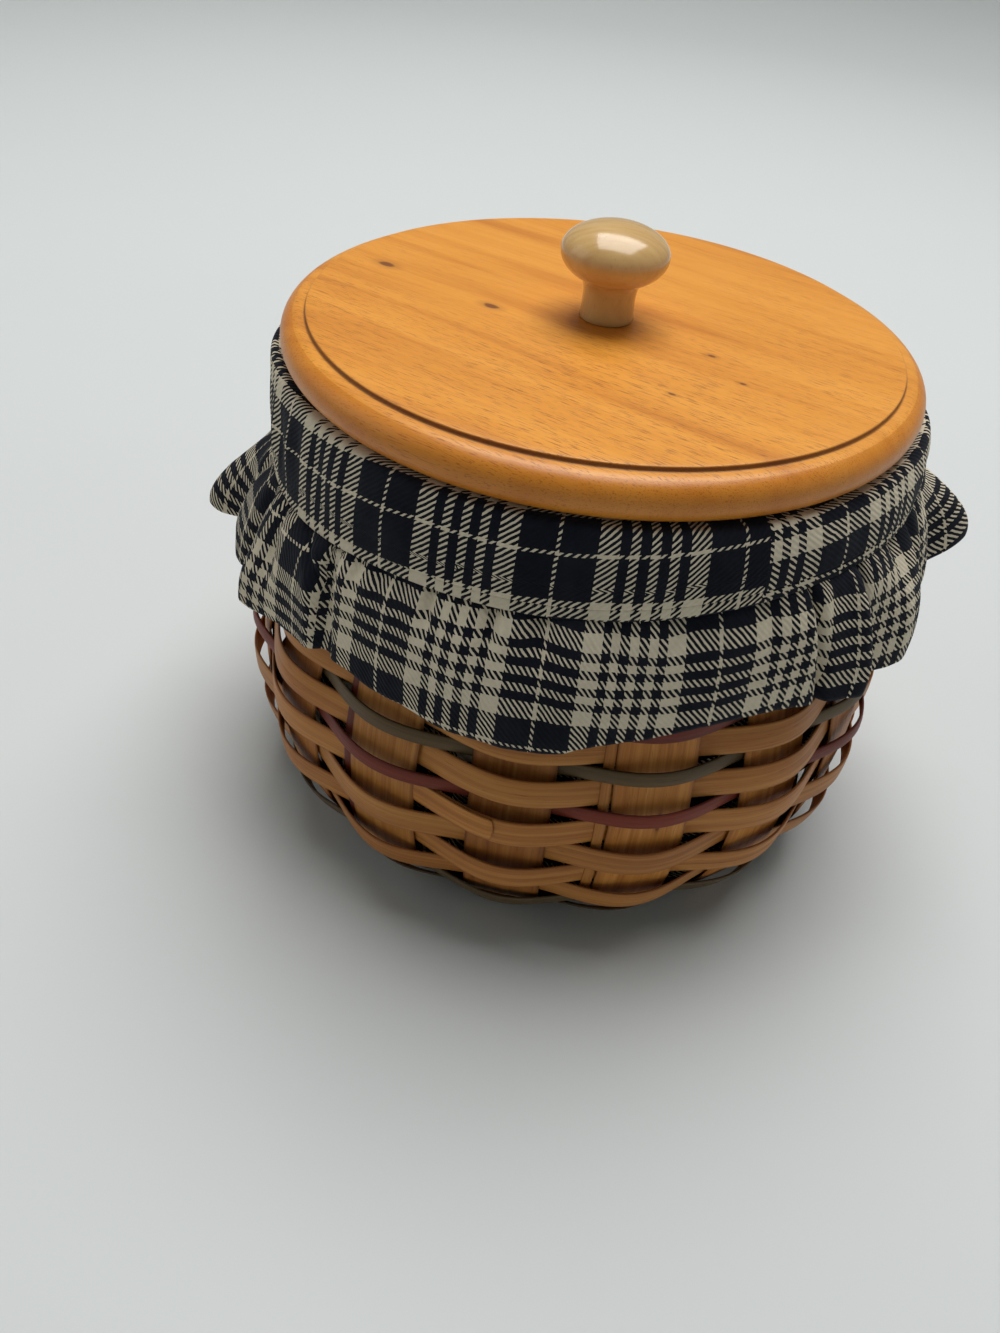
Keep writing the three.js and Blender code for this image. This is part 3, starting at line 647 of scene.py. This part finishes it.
def grow(name, tree, values):
    # Runs a tree with these inputs and keeps the result as a plain mesh
    piece = bpy.data.objects.new(name, bpy.data.meshes.new(name))
    scene.collection.objects.link(piece)
    modifier = piece.modifiers.new("grow", "NODES")
    modifier.node_group = tree
    for item in tree.interface.items_tree:
        if item.in_out == "INPUT" and item.name in values:
            modifier[item.identifier] = values[item.name]
    depsgraph = bpy.context.evaluated_depsgraph_get()
    made = bpy.data.meshes.new_from_object(piece.evaluated_get(depsgraph), preserve_all_data_layers=True,
                                           depsgraph=depsgraph)
    piece.modifiers.remove(modifier)
    piece.data = made
    made.name = name
    tidyMesh(made)
    return piece


chance = random.Random(weave["seed"])
stakePitch = turn / wall["stakes"]
firstStake = math.radians(wall["firstStake"] - 90)


def crestPhase(row):
    # A row's crest stands over every other upright, and the next row's over the rest
    return -(firstStake + row % 2 * stakePitch) * wall["stakes"] / 2


def growWeaver(name, length, width, shadeName, replaced=(), values=None, **sizes):
    # A row at this length along the meridian; the sizes are in mm, and the values are the tree's other inputs
    point, out = onWall(length)
    sizes = {**weave["sizes"], "radius": point[0], "height": point[1], "width": width, **sizes}
    inputs = {key.title(): value * mm for key, value in sizes.items()}
    inputs.update({
        "Out X": out[0], "Out Z": out[1], "Waves": wall["stakes"] / 2, "Phase": 0.0, "Seed": chance.uniform(0, 60),
        "Shade": chance.random(), "Start": 0.0, "Sweep": turn, "Tip": 0.0, "Around": weave["around"],
        "Section": weave["section"], "Finish": finishes[shadeName], **(values or {}),
    })
    piece = grow(name, weaverNodes, inputs)
    finishPiece(piece, finishes[shadeName], "basket", replaced)


rowEdge = wallLength - wall["rimWidth"]
rowPlaces = {}
for row in range(len(weave["rows"]), 0, -1):
    shadeName, width = weave["rows"][row - 1]
    middle = rowEdge - wall["gap"] - width / 2
    phase = crestPhase(row - 1)
    rowPlaces[row] = (middle, width, shadeName, phase)
    growWeaver(f"weaver_{row:02d}", middle, width, shadeName, [f"wall_weaver_{row:02d}"], {"Phase": phase},
               **weave["tight"].get(row, {}))
    rowEdge = middle - width / 2

base = {
    "outerRows": 2, "footWidth": 9.6, "footReach": 1.7, "innerWidths": [6.2, 6.2, 6.2], "reach": 1.5,
    "sizes": {"middle": 0.0, "second": 0.0, "wobble": 0.0, "crown": 0.0, "ripple": 0.1},
}
footOutside = (partEnds[0] + partEnds[1] + base["footWidth"]) / 2
outerWidth = (rowEdge - footOutside - wall["gap"]) / base["outerRows"] - wall["gap"]
baseWidths = [outerWidth] * base["outerRows"] + [base["footWidth"]] + base["innerWidths"]
for row, width in enumerate(baseWidths, 1):
    middle = rowEdge - wall["gap"] - width / 2
    reach = base["footReach"] if width == base["footWidth"] else base["reach"]
    growWeaver(f"base_row_{row}", middle, width, "natural", [f"base_weaver_{row}"], {"Phase": crestPhase(row)},
               reach=reach, **base["sizes"])
    rowEdge = middle - width / 2

# one row ends in a lap over itself, with its cut end in front of an upright
lap = {"row": 7, "raised": 0.7, "narrower": 1.2, "out": 1.05, "from": -34, "sweep": 28.6, "tip": 0.03, "around": 64}
middle, width, shadeName, phase = rowPlaces[lap["row"]]
growWeaver("lapped_end", middle + lap["raised"], width - lap["narrower"], shadeName, (),
           {"Phase": phase, "Start": math.radians(lap["from"] - 90), "Sweep": math.radians(lap["sweep"]),
            "Tip": lap["tip"], "Around": lap["around"]},
           middle=weave["sizes"]["middle"] + lap["out"], wobble=0.0)
print("weavers grown")

# Uprights: each long splint runs up one side, under the base and up the other

uprights = {"step": 3.0, "section": 16, "crown": 0.15, "sway": 0.35, "ripple": 0.18, "seed": 21, "rise": 9.0,
            "crossing": 1.5}


def splintWidth(radius):
    share = (radius - wall["waistRadius"]) / (wall["taperEnd"] - wall["waistRadius"])
    return wall["waistWidth"] + (wall["stakeWidth"] - wall["waistWidth"]) * min(max(share, 0), 1)


def splintStations(level):
    # Half of a splint from the crossing outwards: radius, height and outward direction
    stack = wall["domeHeight"] + level * wall["stackStep"]
    crossing, inner = uprights["crossing"], slice(lastOfPart[0] + 1)
    stations = [(r, stack, 0.0, -1.0) for r in np.arange(crossing, waist + crossing, uprights["step"])]
    start = np.interp(waist + 2, meridian[inner, 0], meridianSteps[inner])
    for length in np.arange(start, wallLength + 0.01, uprights["step"]):
        (r, h), (ox, oz) = onWall(length)
        blend = min(max((r - waist - crossing) / uprights["rise"], 0), 1)
        blend = blend * blend * (3 - 2 * blend)
        stations.append((r, stack + (h - stack) * blend if r < foot[0] else h, ox, oz))
    return stations


def makeStrip(name, stations, middle, widthAt, thickness, depth, shadeName, seed, replaced=()):
    # A strip through stations that may run from minus to plus radius, about the direction "middle"
    shade = random.Random(seed).random()
    points, grain, edges = [], [], []
    along = 0.0
    for i, (r, h, ox, oz) in enumerate(stations):
        if i:
            along += math.dist(stations[i - 1][:2], (r, h))
        width = widthAt(abs(r))
        side, face = stripSection(width, thickness, uprights["section"], uprights["crown"])
        sway = noise.noise(Vector((along * 0.02, seed * 3.7, 0))) * uprights["sway"]
        rippled = side + sway + np.sign(side) * noise.noise(Vector((along * 0.06, seed, 5))) * uprights["ripple"]
        reach = max(abs(r), waist + uprights["crossing"]) * (1 if r > 0 else -1)
        radius = reach + ox * (face + depth)
        angle = middle + rippled / reach
        height = h + oz * (face + depth)
        flatten = r - reach
        x = radius * np.cos(angle) + flatten * math.cos(middle)
        y = radius * np.sin(angle) + flatten * math.sin(middle)
        points.append(np.stack([x, y, height], -1))
        grain.append(np.stack([np.full(len(side), along * mm), np.full(len(side), seed * 0.37), side * mm], -1))
        edges.append(np.abs(side) * 2 / width)
    edges = np.array(edges)
    mesh = gridMesh(name, points, closeRows=True, caps=True,
                    values={"grain": np.array(grain), "shade": np.full(edges.shape, shade), "edge": edges})
    tidyMesh(mesh)
    putPiece(name, mesh, finishes[shadeName], "basket", replaced)


for level in range(wall["stakes"] // 2):
    half = splintStations(level)
    mirrored = [(-r, h, -ox, oz) for r, h, ox, oz in reversed(half)]
    makeStrip(f"upright_pair_{level + 1}", mirrored + half, firstStake + level * stakePitch, splintWidth,
              wall["thickness"], 0.0, "natural" if level % 3 else "aged", uprights["seed"] + level,
              replaced=[f"long_splint_{level + 1}"])

# slivers of a doubled splint that show beside two of the uprights
slivers = {
    "from": 40, "below": 20, "radius": 105, "width": 3.4, "thickness": 0.6, "depth": -0.15, "seed": 50,
    "places": [("double_sliver_1", 1, -14.4, "natural"), ("double_sliver_2", -1, -13.1, "burgundy")],
}
lengths = np.arange(partEnds[1] + slivers["from"], wallLength - slivers["below"], uprights["step"])
stations = [(*onWall(length)[0], *onWall(length)[1]) for length in lengths]
for name, stake, aside, shadeName in slivers["places"]:
    makeStrip(name, stations, firstStake + stake * stakePitch + aside / slivers["radius"],
              lambda radius: slivers["width"], slivers["thickness"], slivers["depth"], shadeName,
              slivers["seed"] + stake)
print("uprights made")

# Rim hoops, inside and outside the uprights

rim = {"thickness": 2.4, "gap": 0.5}
for name, sideways, node in (("rim_outside", 1, "outer_rim_hoop"), ("rim_inside", -1, "inner_rim_hoop")):
    offset = sideways * (wall["thickness"] / 2 + rim["gap"] + rim["thickness"] / 2)
    growWeaver(name, wallLength - wall["rimWidth"] / 2, wall["rimWidth"], "natural", [node], middle=offset, reach=0.0,
               second=0.0, thickness=rim["thickness"], crown=0.0, wobble=0.1, ripple=0.0)
print("rim hoops made")

# Lid, knob and screw

lid = {
    "seat": 160.4, "plugBottom": 156.2, "plugRadius": 90.5, "radius": 100.5, "edge": 12.6, "panel": 92.8, "step": 1.5,
    "round": 0.5, "hole": 2.3, "screwHead": 4.5, "screwDepth": 2.4, "aside": lidShades["aside"], "steps": 240,
}


def arc(centre, radius, first, last, steps):
    angles = [math.radians(first + (last - first) * i / steps) for i in range(steps + 1)]
    return [(centre[0] + radius * math.cos(a), centre[1] + radius * math.sin(a)) for a in angles]


def pushAside(mesh, aside, inside, above, crown=1000.0):
    # The lid sits loose, a little to one side; the screw's hole and the plug stay on the axis
    for vertex in mesh.vertices:
        place = vertex.co
        if place.z > above * mm and (math.hypot(place.x, place.y) > inside * mm or place.z > crown * mm):
            place.x += aside * mm


def makeLid(size):
    halfEdge = size["edge"] / 2
    edgeTop = size["seat"] + size["edge"]
    top = edgeTop + size["step"]
    outline = [(size["screwHead"], size["plugBottom"])]
    outline += [(r, size["plugBottom"]) for r in (20, 40, 60, 80)]
    outline += arc((size["plugRadius"] - 0.8, size["plugBottom"] + 0.8), 0.8, -90, 0, 4)
    outline += arc((size["plugRadius"] + 0.5, size["seat"] - 0.5), 0.5, 180, 90, 3)
    outline += arc((size["radius"] - halfEdge, size["seat"] + halfEdge), halfEdge, -90, 88, 26)
    outline += [(size["panel"] + 0.5, edgeTop), (size["panel"] + 0.12, edgeTop + 0.12)]
    outline += [(size["panel"], edgeTop + 0.5), (size["panel"], top - size["round"] - 0.2)]
    outline += arc((size["panel"] - size["round"], top - size["round"]), size["round"], 0, 90, 5)
    outline += [(r, top) for r in (88, 80, 70, 60, 50, 40, 30, 20, 12, 6)]
    outline += [(size["hole"], top), (size["hole"], size["plugBottom"] + size["screwDepth"])]
    mesh = revolveMesh("lid_board", outline, size["steps"])
    pushAside(mesh, size["aside"], 5, size["seat"] - 0.4)
    putPiece("lid_board", mesh, finishes["lid"], "lid", ["lid"])


makeLid(lid)

knob = {
    "foot": 174.56, "headRadius": 16.7, "headCentre": 20.2, "rise": 8.7, "fall": 9.8, "start": -0.88,
    "footRadius": 8.6, "hole": 2.3, "bored": 12.9, "steps": 96, "headSteps": 24,
    "neck": [(8.45, 1.6), (8.3, 2.8), (8.2, 4.2), (8.15, 6), (8.2, 7.6), (8.32, 9), (8.6, 10.2), (9.1, 11.3),
             (9.75, 12.1)],
}


def makeKnob(size):
    profile = [(size["hole"], 0.0), (size["footRadius"] - 0.4, 0.0), (size["footRadius"], 0.5)]
    profile += size["neck"]
    start, steps = size["start"], size["headSteps"]
    for i in range(1, steps + 1):
        angle = start + (math.pi / 2 - start) * i / steps
        reach = size["rise"] if angle > 0 else size["fall"]
        radius = size["headRadius"] * math.cos(angle) if i < steps else 0.0
        profile.append((radius, size["headCentre"] + reach * math.sin(angle)))
    profile += [(0.0, size["bored"]), (size["hole"], size["bored"])]
    outline = [(r, size["foot"] + h) for r, h in profile]
    mesh = revolveMesh("turned_knob", outline, size["steps"])
    pushAside(mesh, lid["aside"], size["hole"] + 0.1, size["foot"] - 1, size["foot"] + size["bored"] + 0.5)
    putPiece("turned_knob", mesh, finishes["knob"], "lid", ["knob"])


makeKnob(knob)
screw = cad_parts["knob_screw"]
for place in screw.material_slots:
    place.material = finishes["steel"]
print("lid, knob and screw made")

# Cloth: the seam line drops to the left, as the loose liner does in the photograph

cloth = {
    "seamRadius": 104.5, "thickness": 0.7,
    "seam": [(-180, 133.5), (-135, 129.5), (-90, 126.0), (-61, 126.5), (-45, 129.0), (-33, 131.8), (-25, 133.2),
             (-15, 133.4), (-5, 134.0), (5, 135.0), (15, 136.6), (28, 139.2), (36, 140.6), (45, 141.6), (60, 142.0),
             (90, 141.0), (135, 137.5), (180, 133.5)],
}


def fromFront(degrees):
    # The same direction between -180 and 180
    return (degrees + 180) % 360 - 180


def between(value, table):
    # Reads a table of pairs, evenly from one pair to the next
    return float(np.interp(value, *zip(*table)))


def seamHeight(azimuth):
    return np.mean([between(fromFront(azimuth + d), cloth["seam"]) for d in np.linspace(-9, 9, 7)])


def putCloth(name, points, uv, offset, replaced=(), **options):
    # The cloth's thickness grows from the sheet to both sides, or inwards where the offset is -1
    mesh = gridMesh(name, points, uv=uv, **options)
    tidyMesh(mesh, outward=False)
    piece = putPiece(name, mesh, finishes["plaid"], "basket", replaced)
    wallSize = piece.modifiers.new("wall", "SOLIDIFY")
    wallSize.thickness = cloth["thickness"] * mm
    wallSize.offset = offset
    wallSize.use_even_offset = False
    return piece


def onCircle(angle, radius):
    return math.cos(angle) * radius, math.sin(angle) * radius


def atAzimuth(angle, radius, height):
    # A place whose direction is measured from the front
    return radius * math.sin(angle), -radius * math.cos(angle), height


def hump(value, middle, width):
    # 1 at the middle, falling off to both sides
    return math.exp(-((value - middle) / width) ** 2)


def ripple(x, y, z=0.0):
    return noise.noise(Vector((x, y, z)))


cuffSize = {
    "columns": 460, "levels": 22, "joinAt": 29.3, "backFrom": -150, "corner": (99.0, 157.6), "round": 2.2,
    "inside": [(91.9, 157.8), (91.9, 159.0), (92.6, 159.75), (95, 159.8), (98.4, 159.8)], "highest": 160.1,
    "turnedUp": [(0.1, -0.35), (0.7, -0.45), (1.2, -0.1), (1.4, 3.0)],
    # how the pattern lies: the radius that it is turned about, and where it starts in front and behind
    "patternRadius": 103.6, "frontStart": 4.1, "backStart": 80.4, "backRise": 48.4,
    "frontRise": [(-60, 37.4), (-45, 37.2), (-20, 35.8), (0, 34.4)], "upperRise": [(-80, 33.2), (-50, 31.5)],
}


def makeCuff(size):
    # The band over the rim: from inside the mouth, over the top and down to the seam
    stitch = plaid["stitch"]
    points, uv, toSeam = [], [], []
    for azimuth in size["joinAt"] + np.linspace(0, 360, size["columns"]):
        seam = seamHeight(azimuth)
        a = math.radians(azimuth)
        around = fromFront(azimuth)
        puff = hump(around, -82, 16) * 3.2 + hump(around, 84, 14) * 2.0
        loose = 0.5 + 0.8 * hump(around, -66, 18)
        circle = onCircle(a, 5)
        corner = arc((size["corner"][0] + puff, size["corner"][1]), size["round"], 88, 8, 7)
        path = size["inside"] + [(r, min(h + puff * 0.25, size["highest"])) for r, h in corner]
        top = path[-1]
        levels = np.linspace(top[1], seam + stitch + 0.9, size["levels"])[1:].tolist()
        levels += [seam + stitch + d for d in (0.5, 0.3, 0.15, 0, -0.15, -0.3, -0.5, -0.9)]
        for h in levels + [seam + 1.2, seam + 0.5, seam]:
            share = (top[1] - h) / (top[1] - seam)
            bow = 0.9 * math.sin(math.pi * share) * (1 - 0.4 * share)
            r = top[0] + (cloth["seamRadius"] - top[0]) * share ** 0.8 + bow
            crease = ripple(circle[0] * 2.2, circle[1] * 2.2, h * 0.045) * 1.5 * loose
            crease += ripple(circle[0] * 7, circle[1] * 7, h * 0.02 + 9) * 0.7 * loose * share
            r += crease * math.sin(math.pi * min(share * 1.15, 1))
            # the bottom edge is turned up and stitched down near its fold
            path.append((r - 0.4 * hump(h, seam + stitch, 0.3), h))
        bottom = path[-1]
        path += [(bottom[0] - back, bottom[1] + up) for back, up in size["turnedUp"]]
        lengths = runLength(path)
        fromSeam = lengths[path.index(bottom)] - lengths
        points.append([atAzimuth(a, r, h) for r, h in path])
        toSeam.append(fromSeam)
        if around > size["joinAt"] or around < size["backFrom"]:
            turned = math.radians(around if around > 0 else around + 360) * size["patternRadius"]
            uv.append([(size["backStart"] - turned, v + size["backRise"] if v < 60 else v) for v in fromSeam])
        else:
            turned = math.radians(around) * size["patternRadius"]
            front, upper = between(around, size["frontRise"]), between(around, size["upperRise"])
            uv.append([(turned + size["frontStart"], v + (upper if v > 9 else front)) for v in fromSeam])
    return putCloth("cuff_band", points, uv, -1, ["liner_cuff"], values={"toSeam": toSeam})


cuff = makeCuff(cuffSize)
print("cuff made")

# where the hem hangs: azimuth, radius and height
hemPlaces = [
    (-59.5, 121.0, 90.5), (-56.0, 117.6, 89.6), (-51.3, 113.9, 90.8), (-44.2, 112.9, 93.1), (-39.2, 112.1, 95.0),
    (-33.3, 111.9, 95.4), (-27.6, 112.1, 94.3), (-22.3, 112.5, 94.6), (-17.8, 113.3, 93.9), (-14.3, 114.5, 93.5),
    (-9.0, 114.9, 94.0), (-5.9, 116.0, 94.5), (-1.7, 116.2, 95.1), (1.7, 115.7, 95.2), (4.4, 113.9, 95.9),
    (7.9, 112.9, 97.7), (13.5, 112.2, 99.4), (17.2, 111.9, 100.7), (22.3, 111.9, 102.6), (26.1, 111.9, 103.4),
    (30.4, 111.9, 103.6), (35.6, 112.3, 103.6), (39.6, 113.6, 103.0), (41.3, 114.2, 102.8), (42.1, 113.5, 102.8),
    (43.0, 115.2, 102.7), (48.6, 118.6, 102.6), (49.6, 117.4, 102.6), (50.4, 112.2, 102.4), (53.5, 112.4, 101.8),
    (57.0, 115.6, 101.4), (61.0, 119.0, 101.5), (65.5, 119.2, 100.8), (69.4, 116.6, 101.6), (74.0, 113.6, 102.2),
    (78.3, 115.0, 102.1), (82.0, 118.0, 102.0), (84.4, 116.2, 102.6), (87.0, 117.0, 105.0), (90.0, 128.0, 111.0),
    (92.8, 133.6, 113.4), (95.2, 130.0, 112.5), (97.5, 118.0, 109.0), (102.0, 112.5, 107.0), (109.0, 119.5, 107.0),
    (117.0, 112.0, 104.0), (126.0, 120.5, 104.5), (135.0, 112.3, 102.0), (144.0, 118.5, 103.0), (154.0, 112.0, 99.8),
    (163.0, 119.0, 100.2), (172.0, 112.2, 96.5), (181.0, 117.5, 97.0), (190.0, 112.0, 94.5), (199.0, 118.5, 95.5),
    (208.0, 112.3, 92.8), (218.0, 120.0, 94.5), (227.0, 112.3, 91.5), (236.0, 119.0, 93.5), (245.0, 112.5, 91.0),
    (253.0, 120.5, 93.0), (260.0, 113.5, 91.5), (266.0, 113.5, 92.5), (270.5, 117.0, 94.0), (274.0, 127.5, 96.0),
    (276.2, 130.4, 95.2), (278.0, 126.5, 93.6), (279.4, 118.6, 93.4), (281.6, 115.2, 94.6), (285.0, 118.6, 93.6),
    (288.6, 119.2, 92.2), (291.6, 117.8, 91.2), (294.4, 114.2, 91.6), (297.2, 115.0, 91.4),
]

# folds in the ruffle: azimuth at the seam and at the hem, width in degrees, depth in mm, and where each begins and
# ends between the seam (0) and the hem (1)
folds = [
    (-39.6, -38.6, 1.5, -6.0, 0.0, 1.2), (-43.0, -41.5, 2.2, 1.6, 0.1, 1.2), (-49.5, -29.0, 1.5, -2.6, 0.02, 0.6),
    (-34.0, -33.0, 1.0, -2.2, 0.0, 0.4), (-29.0, -28.0, 1.4, -1.6, 0.0, 0.45), (-20.2, -19.0, 1.1, -2.6, 0.0, 0.5),
    (-10.0, -11.0, 1.2, -2.4, 0.0, 0.5), (-3.5, -2.0, 1.6, -1.4, 0.0, 0.5), (8.0, 7.0, 2.0, -1.6, 0.0, 0.6),
    (19.5, 20.5, 4.5, -2.4, 0.0, 0.42), (31.5, 32.0, 1.4, -1.8, 0.0, 0.6), (38.3, 42.3, 0.8, -3.4, 0.0, 1.3),
    (47.2, 49.0, 1.5, 1.8, 0.0, 1.1), (49.4, 51.2, 0.9, -3.0, 0.0, 1.2), (60.9, 61.5, 2.4, -3.4, 0.03, 0.45),
    (68.5, 69.0, 1.4, -2.6, 0.0, 0.9), (76.0, 75.0, 1.6, -2.8, 0.0, 1.0), (-56.5, -54.0, 1.6, -2.4, 0.0, 0.8),
    (-64.0, -65.0, 1.5, -3.0, 0.0, 1.1), (-73.0, -78.5, 1.6, -3.0, 0.0, 1.1),
]


def foldDepth(azimuth, share):
    depth = 0.0
    for seamAt, hemAt, width, reach, first, last in folds:
        aside = (azimuth - seamAt - (hemAt - seamAt) * share) / width
        if abs(aside) < 3:
            fade = min(max((share - first) / 0.1 + 0.25, 0), 1) * min(max((last - share) / 0.3, 0), 1)
            depth += reach * math.exp(-aside * aside) * fade
    return depth


def closedCurve(places, count):
    # A smooth closed curve through places, evenly spaced along its length
    places = np.asarray(places, float)
    before, after = np.roll(places, 1, 0), np.roll(places, -1, 0)
    slopes = (after - before) * 0.5
    t = np.linspace(0, 1, 14, endpoint=False)[:, None]
    parts = []
    for i in range(len(places)):
        p, q = places[i], places[(i + 1) % len(places)]
        m, n = slopes[i], slopes[(i + 1) % len(places)]
        parts.append((2 * t ** 3 - 3 * t ** 2 + 1) * p + (t ** 3 - 2 * t ** 2 + t) * m
                     + (-2 * t ** 3 + 3 * t ** 2) * q + (t ** 3 - t ** 2) * n)
    curve = np.concatenate(parts + [places[:1]])
    lengths = runLength(curve[:, :2])
    even = np.linspace(0, lengths[-1], count, endpoint=False)
    return np.stack([np.interp(even, lengths, curve[:, k]) for k in range(3)], -1)


ruffleSize = {
    "columns": 900, "rows": 34, "inside": 1.6, "above": 0.3, "slack": 1.03, "mostBulge": 40.0, "spread": 22,
    # how much of the cut width the gathers take up, by azimuth
    "takenUp": [(-180, 0.5), (-60, 0.5), (-40, 2.4), (5, 2.4), (20, 1), (180, 0.5)], "clear": 5.5,
    # the strip was cut so that its bands run a little crooked to the seam, and its ends meet at cutAt
    "start": [(-180, 4), (-110, -2), (-76, -3), (-62, -8), (-41.01, -9), (-41, 6.4), (0, 6.2), (9, 3.8), (16, 2.6),
              (40, 2.9), (60, 0), (180, 4)],
    "cutAt": -41.0, "cutStep": 15.4, "bandAt": -1.9, "endBand": 12.5, "flapAt": 280.2, "flapShift": 31.0,
}


def ruffleSection(seam, hem, length, size):
    # A curve that bulges out between the seam and the hem, as far as its length allows
    seam, hem, s = np.array(seam), np.array(hem), np.linspace(0, 1, size["rows"])[:, None]

    def profile(bulge):
        a = seam + np.array([0.8, -0.6]) * (3 + bulge)
        b = hem + np.array([0.25 * bulge - 2, 8 + 0.6 * bulge])
        return seam * (1 - s) ** 3 + 3 * a * s * (1 - s) ** 2 + 3 * b * s * s * (1 - s) + hem * s ** 3

    low, high = 0.0, size["mostBulge"]
    for _ in range(14):
        bulge = (low + high) / 2
        if runLength(profile(bulge))[-1] < length:
            low = bulge
        else:
            high = bulge
    return profile((low + high) / 2)


def makeRuffle(size):
    count, spread = size["columns"], size["spread"]
    curve = closedCurve([atAzimuth(math.radians(azimuth), r, h) for azimuth, r, h in hemPlaces], count)
    hemAzimuth = np.unwrap(np.arctan2(curve[:, 0], -curve[:, 1]))
    # the seam is taken up evenly, so its azimuth is the hem's with the folds smoothed out
    padded = np.concatenate([hemAzimuth[-spread:] - turn, hemAzimuth, hemAzimuth[:spread] + turn])
    kernel = np.hanning(2 * spread + 1)
    seamAzimuth = np.convolve(padded, kernel / kernel.sum(), "valid")
    points, uv = [], []
    for (hx, hy, hz), hemAngle, seamAngle in zip(curve, hemAzimuth, seamAzimuth):
        around = fromFront(math.degrees(seamAngle))
        seam = cloth["seamRadius"] - size["inside"], seamHeight(around) + size["above"]
        hem = math.hypot(hx, hy), hz
        hang = math.dist(seam, hem) * size["slack"]
        section = ruffleSection(seam, hem, hang, size)
        column = []
        for share, (r, h) in zip(np.linspace(0, 1, size["rows"]), section):
            angle = seamAngle + (hemAngle - seamAngle) * share ** 1.2
            x, y = onCircle(angle, 100)
            pucker = ripple(x * 0.11, y * 0.11, h * 0.02) * 2.8 * math.exp(-share * 2.6) * min(share * 9, 1)
            crease = ripple(x * 0.06, y * 0.06, h * 0.05 + 4) * 1.5 * math.sin(math.pi * min(share * 1.1, 1))
            small = ripple(x * 0.3, y * 0.3, h * 0.12 + 7) * 0.35 * min(share * 6, 1)
            r = r + pucker + crease + small + foldDepth(fromFront(math.degrees(angle)), share)
            clear = float(wallAt(h)) + size["clear"]
            if share > 0.12 and r < clear + 1:  # the weave is close behind
                r = clear + math.exp(r - clear - 1)
            column.append(atAzimuth(angle, r, h))
        points.append(column)
        lengths, start = runLength(section), between(around, size["start"])
        cutWidth = hang + between(around, size["takenUp"])
        uv.append([(length / lengths[-1] * cutWidth + start, 0.0) for length in lengths])
    # the strip's two ends meet in the deep fold at the left
    cut = int(np.argmin(np.abs(fromFront(np.degrees(seamAzimuth)) - size["cutAt"] - 0.3)))
    points, uv, hemAt = [np.roll(data, -cut, 0) for data in (points, uv, np.degrees(hemAzimuth) % 360)]
    points, uv = np.concatenate([points, points[:1]]), np.concatenate([uv, uv[:1] - [size["cutStep"], 0.0]])
    # the pattern follows the cloth's length over the folds; the thin band below the front upright sets its place,
    # and the bands that meet the fold at the strip's far end are let in along the back
    along = np.concatenate([[0], np.cumsum(np.linalg.norm(np.diff(points[:, 6:], axis=0), axis=2).mean(axis=1))])
    whole = float(along[-1])
    hemAt = np.concatenate([hemAt, hemAt[:1]])
    first = slice(count // 4)
    hemAt[first] -= 360 * (hemAt[first] > 180)
    along -= np.interp(size["bandAt"], hemAt[first], along[first])
    extra = (size["endBand"] - along[-1] + plaid["repeat"] / 2) % plaid["repeat"] - plaid["repeat"] / 2
    share = np.arange(count + 1) / count
    along += extra * np.clip((share - 0.3) / 0.4, 0, 1)
    # a second join in the valley behind the left flap
    along += size["flapShift"] * np.clip((share - 0.5) / 0.2, 0, 1) * (hemAt < size["flapAt"])
    uv[:, :, 1] = along[:, None]
    print("ruffle hem", round(whole), "mm round")
    return putCloth("ruffle_cloth", points, uv, 0, ["ruffle"]), whole


ruffle, hemLength = makeRuffle(ruffleSize)
print("ruffle made")

linerSize = {
    "columns": 420, "rows": 40, "lowest": 17.5, "floor": 15.4, "girth": 650, "depth": 4.9, "swell": 5.0,
    "bottom": 14.9, "bottomLeast": 14.5, "bottomRows": 30,
}


def makeLiner(size):
    # A wall that hangs inside the weave in soft gathers, and a round bottom sewn to it
    columns, rows, floor = size["columns"], size["rows"], size["floor"]
    upper = slice(lastOfPart[1], None)
    low = float(np.interp(size["lowest"], meridian[upper, 1], meridianSteps[upper]))
    lengths = np.linspace(wallLength, low, rows)
    angles = [k / columns * turn for k in range(columns)]
    points, uv = [], []
    for k, a in enumerate(angles):
        column = []
        for share, length in zip(np.arange(rows) / (rows - 1), lengths):
            (r, h), (ox, oz) = onWall(length)
            gather = ripple(*onCircle(a, 9), share * 0.6) + 0.5 * ripple(*onCircle(a, 22), share)
            depth = size["depth"] + size["swell"] * min(share * 5, 1, (1 - share) * 4)
            depth += (1.6 + 2.0 * share) * (0.5 + 0.5 * math.tanh(gather * 2.4)) * min(share * 6, 1)
            level = max(h - oz * depth, floor)
            level += (floor - level) * max(share * 8 - 7, 0)
            column.append((*onCircle(a, r - ox * depth), level))
        points.append(column)
        uv.append([(k / columns * size["girth"], wallLength - length) for length in lengths])
    points.append(points[0])
    uv.append([(size["girth"], v) for _, v in uv[0]])
    wallPiece = putCloth("liner_wall", points, uv, 0, ["liner"])
    # the round bottom
    edge = np.array([math.hypot(*column[-1][:2]) for column in points[:-1]])
    points = []
    for a, radius in zip(angles, edge + 0.3):
        column = []
        for share in np.linspace(0, 1, size["bottomRows"]):
            x, y = onCircle(a, share * radius)
            column.append((x, y, max(size["bottom"] + 0.5 * ripple(x * 0.05, y * 0.05) * share, size["bottomLeast"])))
        points.append(column)
    flat = [[place[:2] for place in column] for column in points]
    bottom = putCloth("liner_bottom", points, flat, 0, closeColumns=True)


makeLiner(linerSize)
print("liner made")
